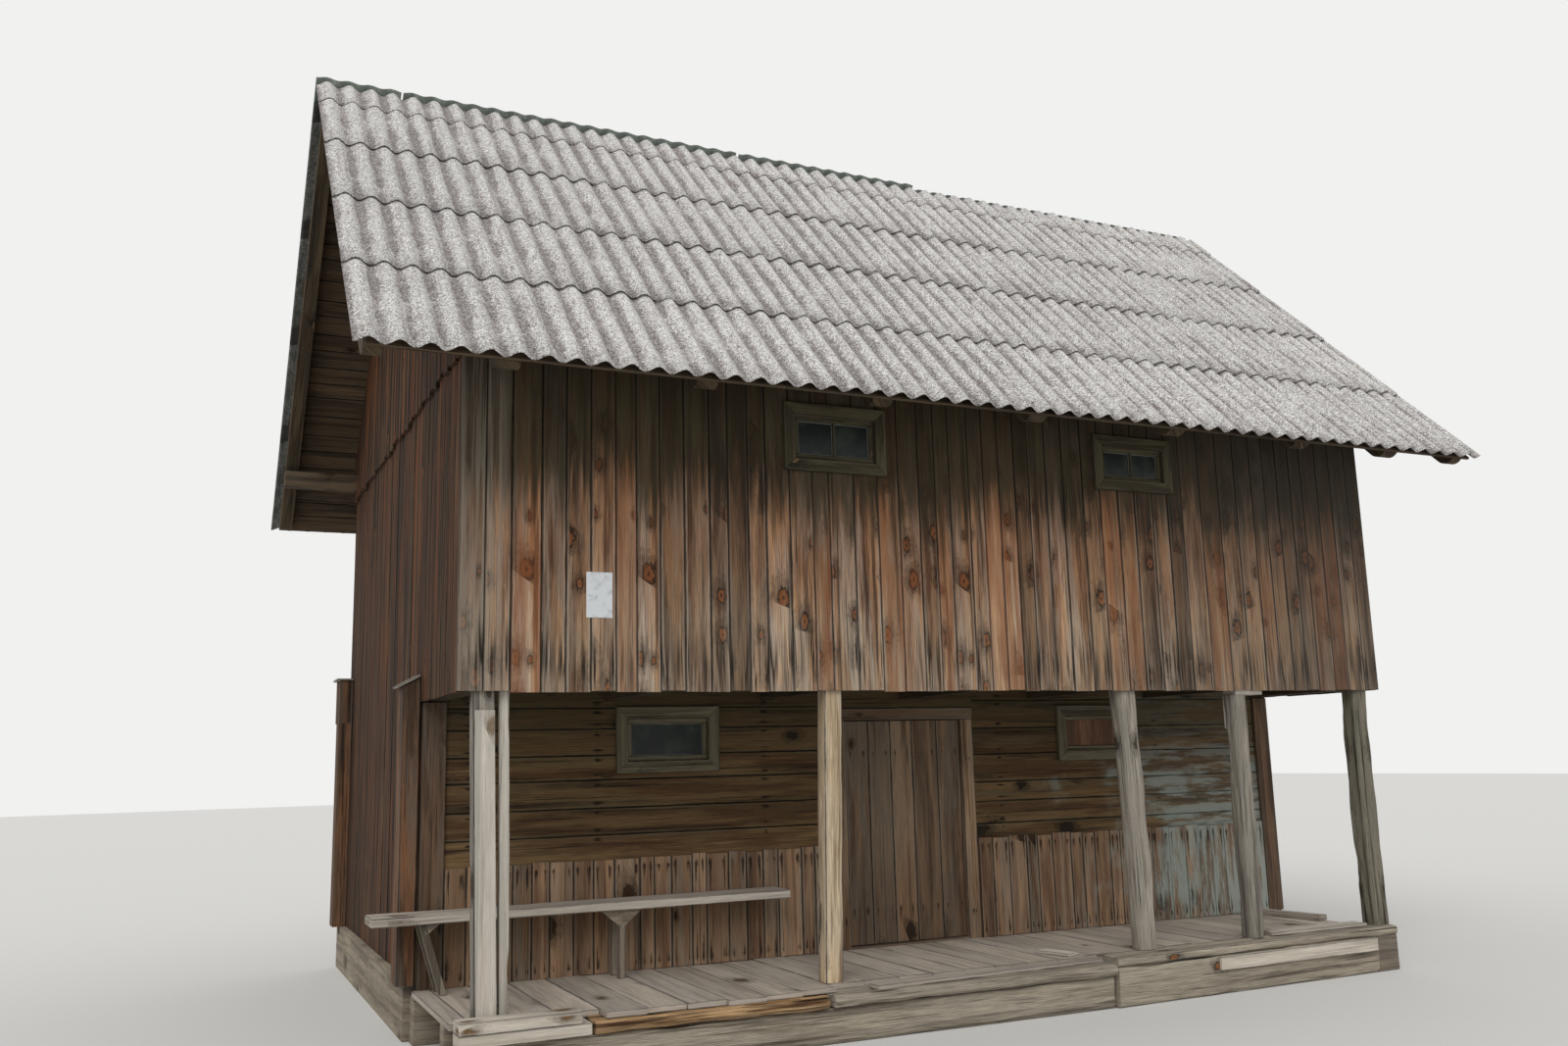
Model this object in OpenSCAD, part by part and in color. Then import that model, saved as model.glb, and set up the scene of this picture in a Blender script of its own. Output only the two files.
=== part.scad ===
// Raised timber granary: plank walls on hewn sills, an upper storey that juts over a porch on
// posts, and a steep roof of corrugated fibre-cement sheets.
// Right along +X, front towards -Y, up +Z. Origin on the ground under the middle of the house.

/* [House] */
// Length of the upper storey along the front, over its boarding
house_l = 7930; // [6500:10:10000]
// Depth of the upper storey over its boarding
house_d = 5360; // [4600:10:6500]
// Depth of the porch, from the jetty front to the wall behind
porch_d = 1330; // [1000:10:1700]
// Height of the deck boards' top above the ground
deck_top = 350; // [330:5:600]
// Height from the deck to the bottom edge of the upper boarding
porch_h = 1950; // [1900:10:2500]
// Height from the bottom edge of the upper boarding to the top of the wall plates
upper_h = 2440; // [2200:10:3000]
// Height of the seam between wall boarding and gable boarding, above the jetty
gable_seam_h = 2200; // [2000:10:2280]

/* [Walls] */
// Thickness of the horizontal wall planks
plank_t = 65; // [50:5:80]
// Thickness of the vertical boarding
board_t = 25; // [18:1:32]
// Width of the corner boards beside the porch wall
corner_board_w = 170; // [120:5:240]
// Height of the wainscot above the deck
wainscot_h = 810; // [500:10:1100]
// Thickness of the wainscot boards
wainscot_t = 20; // [15:1:25]
// How far the gable boards hang over the boarding below
gable_drop = 40; // [20:5:80]

/* [Floors] */
// Thickness of deck and floor boards
floor_t = 40; // [30:1:50]
// Height of the jetty beam and the joists
joist_h = 150; // [120:5:200]
// Width of a joist
joist_w = 120; // [90:5:160]
// Depth of the jetty beam, front to back
jetty_beam_w = 180; // [140:5:220]
// Number of joists
joist_count = 7; // [5:1:9]
// Height of the posts' heads above the bottom edge of the upper boarding
jetty_hem = 12; // [5:1:30]

/* [Sills] */
// Height of the hewn beam at the ground, left of the third post
low_beam_h = 235; // [200:5:245]
// Height of the hewn beam at the ground, right of the third post
high_beam_h = 285; // [260:5:300]
// Width of the sill timbers
sill_w = 240; // [180:5:300]
// How far the front sill stands out before the jetty front
sill_out = 190; // [120:5:260]
// Thickness of the two loose planks on the left corner
corner_plank_t = 72; // [50:2:90]
// Length of the upper corner plank
corner_plank_l = 735; // [500:5:900]
// Thickness of the pale board nailed on the front of the right beam
sill_board_t = 22; // [15:1:30]

/* [Porch posts] */
// Width of the first, boxed post
post1_w = 135; // [110:5:180]
// Width of the second, squared post
post2_w = 132; // [110:2:200]
// Depth of the two squared posts
squared_d = 120; // [90:5:180]
// Width of the third, hewn post
post3_w = 170; // [150:5:240]
// Thickness of the fourth, round post
post4_w = 140; // [120:2:200]
// Width of the fifth, crooked post
post5_w = 158; // [140:2:220]
// Depth of the third and fifth post
hewn_d = 160; // [140:5:220]
// Distance of the posts' middles behind the jetty front
post_line = 90; // [70:5:120]

/* [Roof] */
// Pitch of the roof
roof_pitch = 44.7; // [38:0.1:50]
// Overhang of the rafter plane before the jetty front
eave_out = 620; // [400:10:800]
// Overhang of the roof beyond the gable boarding
verge_out = 755; // [500:5:900]
// Depth of a rafter, square to the slope
rafter_d = 130; // [100:5:160]
// Width of a rafter
rafter_w = 150; // [100:5:180]
// Width of the outermost rafters under the verges
fly_w = 115; // [90:5:150]
// Spacing of the rafter pairs
rafter_step = 1310; // [900:10:1500]
// Depth of the seat cut in each rafter
seat_cut = 35; // [20:5:50]
// Size of the square wall plates
plate_s = 150; // [120:5:200]
// Thickness of the roof boards
roof_board_t = 25; // [18:1:30]
// Distance between two wave crests of the sheets
wave_pitch = 177; // [130:1:190]
// Height of the waves, crest to valley
wave_h = 51; // [30:1:60]
// Thickness of the sheets
sheet_t = 6; // [5:0.5:8]
// Length of a sheet down the slope
sheet_l = 1250; // [1000:10:1600]
// Visible length of each course
course_l = 1088; // [900:1:1150]
// Waves that one sheet covers between its side laps
sheet_waves = 6; // [4:1:8]
// Length of a ridge capping wing down the slope
wing_l = 450; // [300:10:500]
// How far the rear wings stand up past the front ones
ridge_stand = 85; // [40:5:120]

/* [Door] */
// Middle of the door to the right of the middle of the house
door_off = -37; // [-150:1:150]
// Width of the door opening
door_w = 1100; // [900:5:1150]
// Height of the door opening
door_h = 1785; // [1700:5:1800]
// Width of the door posts
jamb_w = 120; // [80:5:140]
// Height of the threshold
threshold_h = 18; // [10:1:30]
// Thickness of the door boards
door_t = 32; // [25:1:40]
// Thickness of the ledges behind the door boards
ledge_t = 26; // [20:1:35]
// Height of a ledge
ledge_h = 150; // [100:5:200]
// Length of a hinge strap
strap_l = 620; // [400:10:800]
// Gap round the closed door
door_gap = 6; // [5:0.5:12]
// Radius of the hinge pins
pin_r = 8; // [6:0.5:10]
// Clearance between a hinge pin and its eye
pin_gap = 0.08; // [0.05:0.01:0.1]

/* [Windows] */
// Width of the casing boards
casing_w = 90; // [60:5:110]
// Thickness of the casing boards
casing_t = 22; // [15:1:30]
// Width of the sash bars
sash_w = 38; // [28:1:50]
// Thickness of the sash bars
sash_t = 34; // [26:1:45]
// Thickness of the panes
pane_t = 4; // [3:0.5:6]

/* [Bench] */
// Length of the bench plank
bench_l = 3030; // [2000:10:3200]
// Depth of the bench plank
bench_d = 315; // [240:5:360]
// Thickness of the bench plank
bench_t = 58; // [40:2:70]
// Height of the bench above the deck
bench_h = 525; // [400:5:600]
// How far the bench stands out at the left end of the house
bench_out = 330; // [0:10:500]
// Thickness of the bench legs
leg_t = 48; // [30:1:60]

/* [Hidden] */

jetty_z = deck_top + porch_h;
head_z = jetty_z + jetty_hem;
floor_z = head_z + joist_h;
plate_z = jetty_z + upper_h;
seam_z = jetty_z + gable_seam_h;
bearing_z = deck_top - floor_t;
boarding_z = deck_top + 40;
wall_t = board_t + plank_t;
mid_y = house_d / 2;

// Heights of the roof planes over a line y, front slope
seat_z = plate_z - seat_cut;
rafter_v = rafter_d / cos(roof_pitch);
function rafter_under(y) = seat_z + (y - board_t) * tan(roof_pitch);
function rafter_over(y) = rafter_under(y) + rafter_v;
eave_z = rafter_over(-eave_out);
slope_l = (mid_y + eave_out) / cos(roof_pitch);
roof_l = house_l + 2 * verge_out;
// Clearance between pieces that lie on each other
seat_gap = 0.3;

lap_share = 1.8;
lap_rise = lap_share * sheet_t + seat_gap;
courses = ceil((slope_l - wing_l) / course_l);
waves = roof_l / wave_pitch;

fly_in = 70;
board_in = 60;
gable_rafter_in = 105;
tail_in = 97;
tail_round = 95;
ridge_gap = 1;
plate_outs = [verge_out - 110, verge_out - 60];
first_rafter = gable_rafter_in + rafter_w / 2;
last_rafter = house_l - first_rafter;
rafter_xs = concat(
    [-verge_out + fly_in + fly_w / 2],
    [for (x = [first_rafter : rafter_step : last_rafter - rafter_w * 2]) x],
    [last_rafter, house_l + verge_out - fly_in - fly_w / 2]
);
function rafter_width(x) = x < 0 || x > house_l ? fly_w : rafter_w;

door_x = house_l / 2 + door_off - door_w / 2;
opening_right = door_x + door_w;
frame_left = door_x - jamb_w;
frame_right = opening_right + jamb_w;
door_head_z = deck_top + door_h;
door_head_h = 100;
frame_proud = 5;
frame_back = porch_d + plank_t + 10;
leaf_y = porch_d + 18;
ledge_y = leaf_y + door_t;
strap_y = ledge_y + ledge_t;
strap_t = 8;
strap_w = 44;
eye_r = pin_r + pin_gap + 6;
eye_h = 70;
hook_h = 26;
pin_rest = 0.3;
hinge_x = opening_right - door_gap / 2;
hinge_y = strap_y + strap_t + eye_r;
leaf_w = door_w - 2 * door_gap;
leaf_z = deck_top + threshold_h + door_gap;
leaf_h = door_head_z - door_gap - leaf_z;
ledge_end = 180;
ledge_in = 60;
ledge_zs = [leaf_z + ledge_end, leaf_z + leaf_h - ledge_end - ledge_h];

// Windows as [left, bottom, width, height] of the opening inside the casing. Their places follow
// the length of the house.
porch_window_z = jetty_z - 445;
upper_window_z = jetty_z + 1660;
upper_windows = [[0.2976 * house_l, upper_window_z, 650, 320],
                 [0.6419 * house_l, upper_window_z + 30, 610, 270]];
porch_windows = [[0.1936 * house_l, porch_window_z, 650, 315],
                 [0.7011 * house_l, porch_window_z, 640, 300]];
sash_in = 12;

// A timber hewn from a log, standing from z = 0. Its corners are broken by the share round_off,
// its faces waver inwards by a share of its size and its middle is bent sideways.
hewn_waver = 0.044;
function hewn_ring(z, w, d, round_off, seed) =
    let (
        a = w / 2,
        b = d / 2,
        c = min(a, b) * round_off,
        k = c * 0.42,
        flat = [[a - k, -b + k * 0.35], [a - k * 0.35, -b + k], [a, -b + c * 1.3], [a, b - c * 1.3],
                [a - k * 0.35, b - k], [a - k, b - k * 0.35], [a - c * 1.3, b], [-a + c * 1.3, b],
                [-a + k, b - k * 0.35], [-a + k * 0.35, b - k], [-a, b - c * 1.3],
                [-a, -b + c * 1.3], [-a + k * 0.35, -b + k], [-a + k, -b + k * 0.35],
                [-a + c * 1.3, -b], [a - c * 1.3, -b]]
    )
    [for (i = [0 : len(flat) - 1])
        let (s = 1 - hewn_waver * round_off * (1 + sin(seed * 77 + i * 97 + z * 0.31)) / 2)
        [flat[i][0] * s, flat[i][1] * s]];

module hewn_timber(length, w, d, round_off = 0.5, bend = [0, 0], lean = [0, 0], taper = 0, seed = 1,
                   rings = 7) {
    n = 16;
    points = [for (j = [0 : rings]) let (t = j / rings, z = t * length, g = 1 - taper * t)
        each [for (p = hewn_ring(z, w, d, round_off, seed))
            [p[0] * g + bend[0] * sin(180 * t) + lean[0] * t,
             p[1] * g + bend[1] * sin(180 * t) + lean[1] * t, z]]];
    sides = [for (j = [0 : rings - 1]) for (i = [0 : n - 1])
        let (a = j * n + i, b = j * n + (i + 1) % n)
        each [[a, a + n, b], [b, a + n, b + n]]];
    polyhedron(
        points = points,
        faces = concat([[for (i = [0 : n - 1]) i]], sides, [[for (i = [n - 1 : -1 : 0]) rings * n + i]])
    );
}

// A hewn timber lying along +X, from x, with its lower front edge at y and z
module hewn_log(x, y, z, length, w, h, round_off = 0.5, seed = 1, bend = [0, 0]) {
    translate([x, y + w / 2, z + h / 2])
        rotate([90, 0, 90])
            hewn_timber(length, w, h, round_off, bend, seed = seed, rings = 10);
}

// A plain slab given by its two corners
module slab(low, high) {
    translate(low) cube(high - low);
}

// A profile in the Y-Z plane, pulled along +X from x
module along_x(x, length) {
    translate([x, 0, 0]) rotate([90, 0, 90]) linear_extrude(length) children();
}

// Places children on the rafter plane of one slope: x along the house, y up the slope from the
// eave, z square to the slope
module on_slope(rear = false) {
    if (rear)
        translate([0, house_d, 0]) mirror([0, 1, 0]) on_slope() children();
    else
        translate([0, -eave_out, eave_z]) rotate([roof_pitch, 0, 0]) children();
}

// Everything is set out from the left front corner of the house and then centred
module house() {
    translate([-house_l / 2, -mid_y, 0]) children();
}

// Mirrors children to the right gable as well
module both_gables() {
    children();
    translate([house_l, 0, 0]) mirror([1, 0, 0]) children();
}

log_a_x = corner_plank_l + 100;
log_b_x = 0.309 * house_l;
log_c_x = 0.6028 * house_l;
log_c_l = house_l - 150 - log_c_x;
log_gap = 30;
block_w = 240;
block_gap = 10;
right_beam_l = log_c_l - block_w - block_gap;
sill_board_x = 0.36 * right_beam_l;
sill_board_h = 100;

// The sill right of the third log lies askew: its right end is set back
right_sill_turn = 2.4;
module right_sill() translate([log_c_x, -sill_out, 0]) rotate(right_sill_turn) children();

module front_sill_beam() color("#8a8072") house() {
    hewn_log(log_gap, -sill_out + 25, 0, log_c_x - 2 * log_gap, sill_w, low_beam_h, 0.25, 2);
    right_sill() {
        hewn_log(0, 0, 0, right_beam_l, sill_w, high_beam_h, 0.25, 3);
        slab([sill_board_x, -sill_board_t, high_beam_h - block_gap - sill_board_h],
             [right_beam_l - 2 * block_gap, block_gap, high_beam_h - block_gap]);
        slab([right_beam_l + block_gap, block_gap, 0], [log_c_l, sill_w, high_beam_h]);
    }
}

module front_sill_log() color("#9c7a58") house() {
    log_h = bearing_z - low_beam_h;
    hewn_log(log_a_x, -sill_out - 15, low_beam_h, log_b_x - log_gap - log_a_x, sill_w + 60, log_h, 0.6, 4);
    hewn_log(log_b_x, -sill_out - 30, low_beam_h, log_c_x - log_gap - log_b_x, sill_w + 50, log_h, 0.8, 5);
    right_sill()
        hewn_log(0, 0, high_beam_h, log_c_l, sill_w, deck_top - high_beam_h, 0.6, 6);
}

module corner_planks() color("#b5ab9b") house() {
    top_z = low_beam_h + corner_plank_t;
    slab([15, -sill_out - 5, low_beam_h], [15 + corner_plank_l + 60, -10, top_z]);
    slab([15, -sill_out - 5, top_z + seat_gap], [15 + corner_plank_l, -18, top_z + corner_plank_t]);
}

bearer_y = sill_w - sill_out + 150;
bearer_w = 120;
deck_rest = 60;
floor_rest = 60;
sill_proud = 45;

module house_sills() color("#6f6254") house() {
    slab([0, bearer_y, 0], [house_l, bearer_y + bearer_w, bearing_z]);
    slab([0, porch_d - deck_rest, 0], [house_l, porch_d + plank_t + floor_rest, bearing_z]);
    along_x(-sill_proud, house_l + 2 * sill_proud)
        polygon([[house_d - wall_t - floor_rest, 0], [house_d + sill_proud, 0],
                 [house_d + sill_proud, boarding_z], [house_d - board_t, boarding_z],
                 [house_d - board_t, bearing_z], [house_d - wall_t - floor_rest, bearing_z]]);
    for (y = [porch_d + (house_d - porch_d) / 3, porch_d + (house_d - porch_d) * 2 / 3])
        slab([wall_t + floor_rest, y, 0], [house_l - wall_t - floor_rest, y + bearer_w, bearing_z]);
    both_gables() {
        front_y = porch_d + plank_t + floor_rest + 1;
        back_y = house_d - wall_t - floor_rest - 1;
        slab([-sill_proud, front_y, 0], [wall_t, back_y, bearing_z]);
        slab([-sill_proud, front_y, 0], [board_t, back_y, boarding_z]);
    }
}

deck_x0 = 112;
deck_x1 = house_l - 300;
deck_board_w = 268;
deck_edges = [40, -8, -8, -140, -120, -132, -160, -128, -110, 12, 10, 25, 8, 32, 14, 20, 6, 60];
deck_back = porch_d - frame_proud - 1;
log_clear = 6;

// The line behind the right sill, where the deck boards start
function behind_sill(x) = sill_w + log_clear - sill_out + (x - log_c_x) * tan(right_sill_turn);

// Loose timbers on the porch, lying at a corner and turned: one on the edge of the deck, one at its
// right end and one between the last two posts
edge_plank = [1950, 120, 28];
edge_plank_turn = 3.4;
end_timber = [105, 780, 45];
end_timber_turn = 9;
end_timber_reach = end_timber[1] * cos(end_timber_turn) + end_timber[0] * sin(end_timber_turn);
end_timber_y = porch_d - wainscot_t - log_clear - end_timber_reach;
loose_board_w = 95;
loose_board_t = 28;
loose_board_lap = 22;

module porch_deck() color("#a59a8c") house() {
    count = floor((deck_x1 - deck_x0) / deck_board_w);
    front = [for (i = [0 : count - 1])
        let (x = deck_x0 + i * deck_board_w,
             end = i == count - 1 ? deck_x1 : x + deck_board_w,
             y = end < log_c_x ? deck_edges[i % len(deck_edges)] : behind_sill(end) + 4 * (i % 3))
        each [[x, y], [end, y]]];
    translate([0, 0, bearing_z]) linear_extrude(floor_t)
        polygon(concat(front, [[deck_x1, deck_back], [deck_x0, deck_back]]));
    slab([-8, -9, bearing_z], [deck_x0 - 4, deck_back, deck_top]);
    translate([log_c_x - log_gap - edge_plank[0], sill_board_t - sill_out, bearing_z])
        rotate(edge_plank_turn) cube(edge_plank);
    translate([deck_x1 - end_timber[0], end_timber_y, deck_top])
        rotate(end_timber_turn) cube(end_timber);
    slab([post4_x + post4_w, post_line - loose_board_w / 2, deck_top],
         [post5_x - post5_w, behind_sill(deck_x1) + loose_board_lap, deck_top + loose_board_t]);
}

module ground_floor() color("#8d8274") house()
    slab([wall_t, frame_back, bearing_z], [house_l - wall_t, house_d - wall_t, deck_top]);

batten_w = 62;
batten_d = 52;
head_clear = 2;
cap_board_h = 42;
cap_board_w = 285;
cap_board_over = 50;
cap_strip_w = 30;
cap_strip_l = 270;

// A porch post that stands on the deck or sill at x and leans sideways to its head. A deep post
// also leans back, so that its head stands behind the boarding.
module porch_post(x, w, d, round_off, lean, bend, seed, drop = 0, y = post_line) {
    back = drop > 0 ? 0 : max(0, board_t + head_clear + d / 2 - y);
    translate([x, y, deck_top])
        hewn_timber(head_z - deck_top - drop, w, d, round_off, [bend, 0], [lean, back], seed = seed);
}

// The first post carries a facing board in front and a narrow batten at its side
module porch_post_1() color("#a8a092") house() {
    foot_x = 212;
    lean = -36;
    porch_post(foot_x, post1_w, squared_d, 0.15, lean, 0, 11);
    porch_post(foot_x + 2, post1_w - 12, board_t, 0.08, lean, 0, 12, 120,
               post_line - (squared_d + board_t) / 2 + 2);
    porch_post(foot_x + post1_w / 2 + batten_w / 2 + 22, batten_w, batten_d, 0.1, lean / 2, 0, 13);
}

post2_x = 0.3243 * house_l;
post3_x = 0.6629 * house_l;
post4_x = 0.8023 * house_l;
post5_x = house_l - 215;

module porch_post_2() color("#bfa27c") house()
    porch_post(post2_x, post2_w, squared_d, 0.12, 52, 0, 21);

module porch_post_3() color("#97928a") house()
    porch_post(post3_x, post3_w, hewn_d, 0.75, -38, 12, 31);

// The fourth post carries a short cap board, from whose rear a strip hangs
module porch_post_4() color("#9d988f") house() {
    lean = 8;
    low = [post4_x + lean - cap_board_over, board_t + head_clear, head_z - cap_board_h];
    high = [low[0] + cap_board_w, low[1] + post4_w, head_z];
    porch_post(post4_x, post4_w, post4_w, 0.6, lean, 0, 41, y = low[1] + post4_w / 2,
               drop = cap_board_h / 2);
    slab(low, high);
    slab([low[0] - cap_strip_w / 2, high[1] - sill_board_t, low[2] - cap_strip_l],
         [low[0] + cap_strip_w / 2, high[1], low[2] + cap_board_h / 2]);
}

module porch_post_5() color("#9a9187") house()
    porch_post(post5_x, post5_w, hewn_d, 0.5, 18, -14, 51);

module jetty_beam() color("#6e6353") house()
    slab([board_t, board_t, head_z], [house_l - board_t, board_t + jetty_beam_w, floor_z]);

first_joist = wall_t + joist_w / 2;
joist_step = (house_l - 2 * first_joist) / (joist_count - 1);
joist_xs = [for (i = [0 : joist_count - 1]) first_joist + i * joist_step];

module floor_joists() color("#5f5648") house()
    for (x = joist_xs)
        slab([x - joist_w / 2, board_t + jetty_beam_w, head_z],
             [x + joist_w / 2, house_d - wall_t, floor_z]);

module upper_floor() color("#77694f") house()
    slab([wall_t, wall_t, floor_z], [house_l - wall_t, house_d - wall_t, floor_z + floor_t]);

// Cuts the windows of one row out of a wall whose outer face lies at y
module window_holes(windows, y, depth) {
    for (w = windows)
        translate([w[0], y - 1, w[1]]) cube([w[2], depth + 2, w[3]]);
}

// Planks behind the porch from one height up to the upper floor, cut round the joists
module porch_wall(from_x, to_x, low_z) color("#5d5442") house()
    difference() {
        slab([from_x, porch_d, low_z], [to_x, porch_d + plank_t, floor_z]);
        window_holes(porch_windows, porch_d, plank_t);
        for (x = joist_xs)
            translate([x - joist_w / 2 - notch_gap, porch_d - 1, head_z - notch_gap])
                cube([joist_w + 2 * notch_gap, plank_t + 2, joist_h + 2 * notch_gap]);
    }

module porch_wall_left() porch_wall(wall_t, frame_left, bearing_z);
module porch_wall_right() porch_wall(frame_right, house_l - wall_t, bearing_z);
module porch_wall_over_door() porch_wall(frame_left, frame_right, door_head_z + door_head_h);

module upper_front_wall() color("#5d4a38") house()
    difference() {
        slab([board_t, board_t, floor_z], [house_l - board_t, wall_t, plate_z - plate_s]);
        window_holes(upper_windows, board_t, plank_t);
    }

module rear_wall() color("#5d4a38") house()
    slab([board_t, house_d - wall_t, bearing_z],
         [house_l - board_t, house_d - board_t, plate_z - plate_s]);

stud_w = 110;
gable_studs = 5;
notch_gap = 0.5;

// The triangle above a level, up to the roof boards
module gable_profile(low_z, inset)
    polygon([[inset, low_z], [house_d - inset, low_z], [house_d - inset, rafter_over(inset)],
             [mid_y, rafter_over(mid_y)], [inset, rafter_over(inset)]]);

// A rail on the plates and the studs between the slopes
module gable_frame_profile() intersection() {
    gable_profile(plate_z, board_t);
    union() {
        for (k = [1 : gable_studs])
            translate([k * house_d / (gable_studs + 1) - stud_w / 2, plate_z])
                square([stud_w, rafter_over(mid_y) - plate_z]);
        translate([0, plate_z]) square([house_d, stud_w]);
    }
}

// Holes for the wall plates, which run out through the gable
module plate_notches()
    for (y = [board_t, house_d - board_t - plate_s])
        translate([y - notch_gap, plate_z - plate_s - notch_gap]) square(plate_s + 2 * notch_gap);

// The side of the house: full height behind the porch wall, upper storey only over the porch
module side_wall() along_x(board_t, plank_t) difference() {
    union() {
        polygon([[porch_d, bearing_z], [house_d - wall_t, bearing_z], [house_d - wall_t, plate_z],
                 [wall_t, plate_z], [wall_t, floor_z], [board_t + jetty_beam_w, floor_z],
                 [board_t + jetty_beam_w, head_z], [porch_d, head_z]]);
        gable_frame_profile();
    }
    plate_notches();
}

module left_wall() color("#5b4636") house() side_wall();
module right_wall() color("#5b4636") house()
    translate([house_l, 0, 0]) mirror([1, 0, 0]) side_wall();

// Upright boards of the gable, hung over the boarding below
module gable() along_x(-board_t, board_t) difference() {
    gable_profile(seam_z - gable_drop, 0);
    plate_notches();
}

module left_gable() color("#6b3f2a") house() gable();
module right_gable() color("#6b3f2a") house()
    translate([house_l, 0, 0]) mirror([1, 0, 0]) gable();

module front_boarding() color("#8a5f45") house()
    difference() {
        slab([0, 0, jetty_z], [house_l, board_t, rafter_under(0) - 1]);
        window_holes(upper_windows, 0, board_t);
    }

module rear_boarding() color("#80583f") house()
    slab([0, house_d - board_t, boarding_z], [house_l, house_d, rafter_under(0) - 1]);

// Boarding of one side up to the plates, with nailing strips for the gable boards above
module side_boarding() along_x(0, board_t) difference() {
    union() {
        polygon([[porch_d, boarding_z], [house_d - board_t, boarding_z],
                 [house_d - board_t, plate_z], [board_t, plate_z], [board_t, jetty_z],
                 [porch_d, jetty_z]]);
        gable_frame_profile();
    }
    plate_notches();
}

module left_boarding() color("#6e4630") house() side_boarding();
module right_boarding() color("#6e4630") house()
    translate([house_l, 0, 0]) mirror([1, 0, 0]) side_boarding();

corner_in = 20;
side_gap = 2;
foot_gap = 1;

module wainscot() color("#7d5f4a") house() {
    end_x = corner_in + corner_board_w + side_gap;
    slab([end_x, porch_d - wainscot_t, deck_top + foot_gap],
         [frame_left - side_gap, porch_d, deck_top + wainscot_h]);
    slab([frame_right + side_gap, porch_d - wainscot_t, deck_top + foot_gap],
         [house_l - end_x, porch_d, deck_top + wainscot_h]);
}

module corner_boards() color("#77604c") house()
    both_gables()
        slab([corner_in, porch_d - board_t, deck_top + foot_gap],
             [corner_in + corner_board_w, porch_d, jetty_z - side_gap]);

box_out = 110;
box_w = 230;
box_rise = 120;
box_cap_t = 18;
box_cap_over = 30;
box_cap_pitch = 28;
rear_head_drop = 20;
rear_head_h = 410;
rear_head_out = 90;

// Boxed log ends at the two left corners of the lower storey. The front one has a sloping cap,
// the rear one a head that also stands out to the rear, under a flat cap.
module corner_boxes() color("#6b4a35") house() {
    front_y = porch_d - board_t;
    rear_y = house_d - box_w;
    low_z = jetty_z + box_rise;
    rise = tan(box_cap_pitch);
    head_low = jetty_z - rear_head_drop;
    cap_z = head_low + rear_head_h + seat_gap;
    translate([0, front_y + box_w, 0]) rotate([90, 0, 0]) linear_extrude(box_w)
        polygon([[-box_out, boarding_z], [0, boarding_z], [0, low_z + box_out * rise],
                 [-box_out, low_z]]);
    translate([-box_out - box_cap_over, front_y - 15, low_z - box_cap_over * rise + 2 * seat_gap])
        rotate([0, -box_cap_pitch, 0])
            cube([(box_out + box_cap_over - 1) / cos(box_cap_pitch), box_w + 25, box_cap_t]);
    slab([-box_out, rear_y, boarding_z], [0, house_d, head_low]);
    slab([-box_out, rear_y, head_low], [0, house_d + rear_head_out, head_low + rear_head_h]);
    slab([-box_out - box_cap_over, rear_y - 15, cap_z],
         [-1, house_d + rear_head_out + box_cap_over, cap_z + box_cap_t]);
}

module wall_plates() color("#6a5a48") house()
    for (k = [0, 1]) {
        y = k == 0 ? board_t : house_d - board_t - plate_s;
        slab([-plate_outs[k], y, plate_z - plate_s], [house_l + plate_outs[k], y + plate_s, plate_z]);
    }

beam_w = 100;

// Tie beams beside the rafter feet, on the side towards the middle of the house
module loft_beams() color("#66594a") house()
    for (x = rafter_xs)
        if (x > 0 && x < house_l) {
            beside = rafter_w / 2 + ridge_gap;
            beam_x = x < house_l / 2 ? x + beside : x - beside - beam_w;
            slab([beam_x, board_t, plate_z], [beam_x + beam_w, house_d - board_t, plate_z + beam_w]);
        }

// One rafter in the Y-Z plane, with its rounded tail, ridge cut and plate seat
module rafter_profile() difference() {
    intersection() {
        translate([-eave_out, eave_z]) rotate(roof_pitch)
            translate([tail_in, -rafter_d]) square([slope_l, rafter_d]);
        translate([-2 * eave_out, 0]) square([mid_y + 2 * eave_out - ridge_gap, 2 * rafter_over(mid_y)]);
    }
    translate([board_t, plate_z - plate_s]) square([plate_s, plate_s]);
    translate([-eave_out, eave_z]) rotate(roof_pitch)
        translate([tail_in, -rafter_d]) difference() {
            translate([-1, -1]) square([tail_round + 1, tail_round + 1]);
            translate([tail_round, tail_round]) circle(r = tail_round, $fn = 64);
        }
}

module rafters() color("#6f5c49") house()
    for (x = rafter_xs) {
        w = rafter_width(x);
        along_x(x - w / 2, w) rafter_profile();
        translate([0, house_d, 0]) mirror([0, 1, 0]) along_x(x - w / 2, w) rafter_profile();
    }

first_board = 30;

module roof_boards() color("#5a4c3d") house()
    for (rear = [false, true]) on_slope(rear)
        slab([-verge_out + board_in, first_board, 0],
             [house_l + verge_out - board_in, slope_l - roof_board_t, roof_board_t]);

// Upper and lower outline of a run of corrugated sheet; the sheets' side laps lie double
wave_steps = 6;
function wave_z(x) = wave_h / 2 - sheet_t / 2 - (wave_h - sheet_t) / 2 * cos(360 * x / wave_pitch);
function lapped(i, shift) = (i + shift) % (sheet_waves * wave_steps) < wave_steps / 2;

module wave_section(shift) {
    n = floor(waves * wave_steps);
    dx = wave_pitch / wave_steps;
    under = [for (i = [0 : n]) [i * dx, wave_z(i * dx)]];
    over = [for (i = [n : -1 : 0])
        [i * dx, wave_z(i * dx) + (lapped(i, shift) ? lap_share : 1) * sheet_t]];
    polygon(concat(under, over));
}

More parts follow.
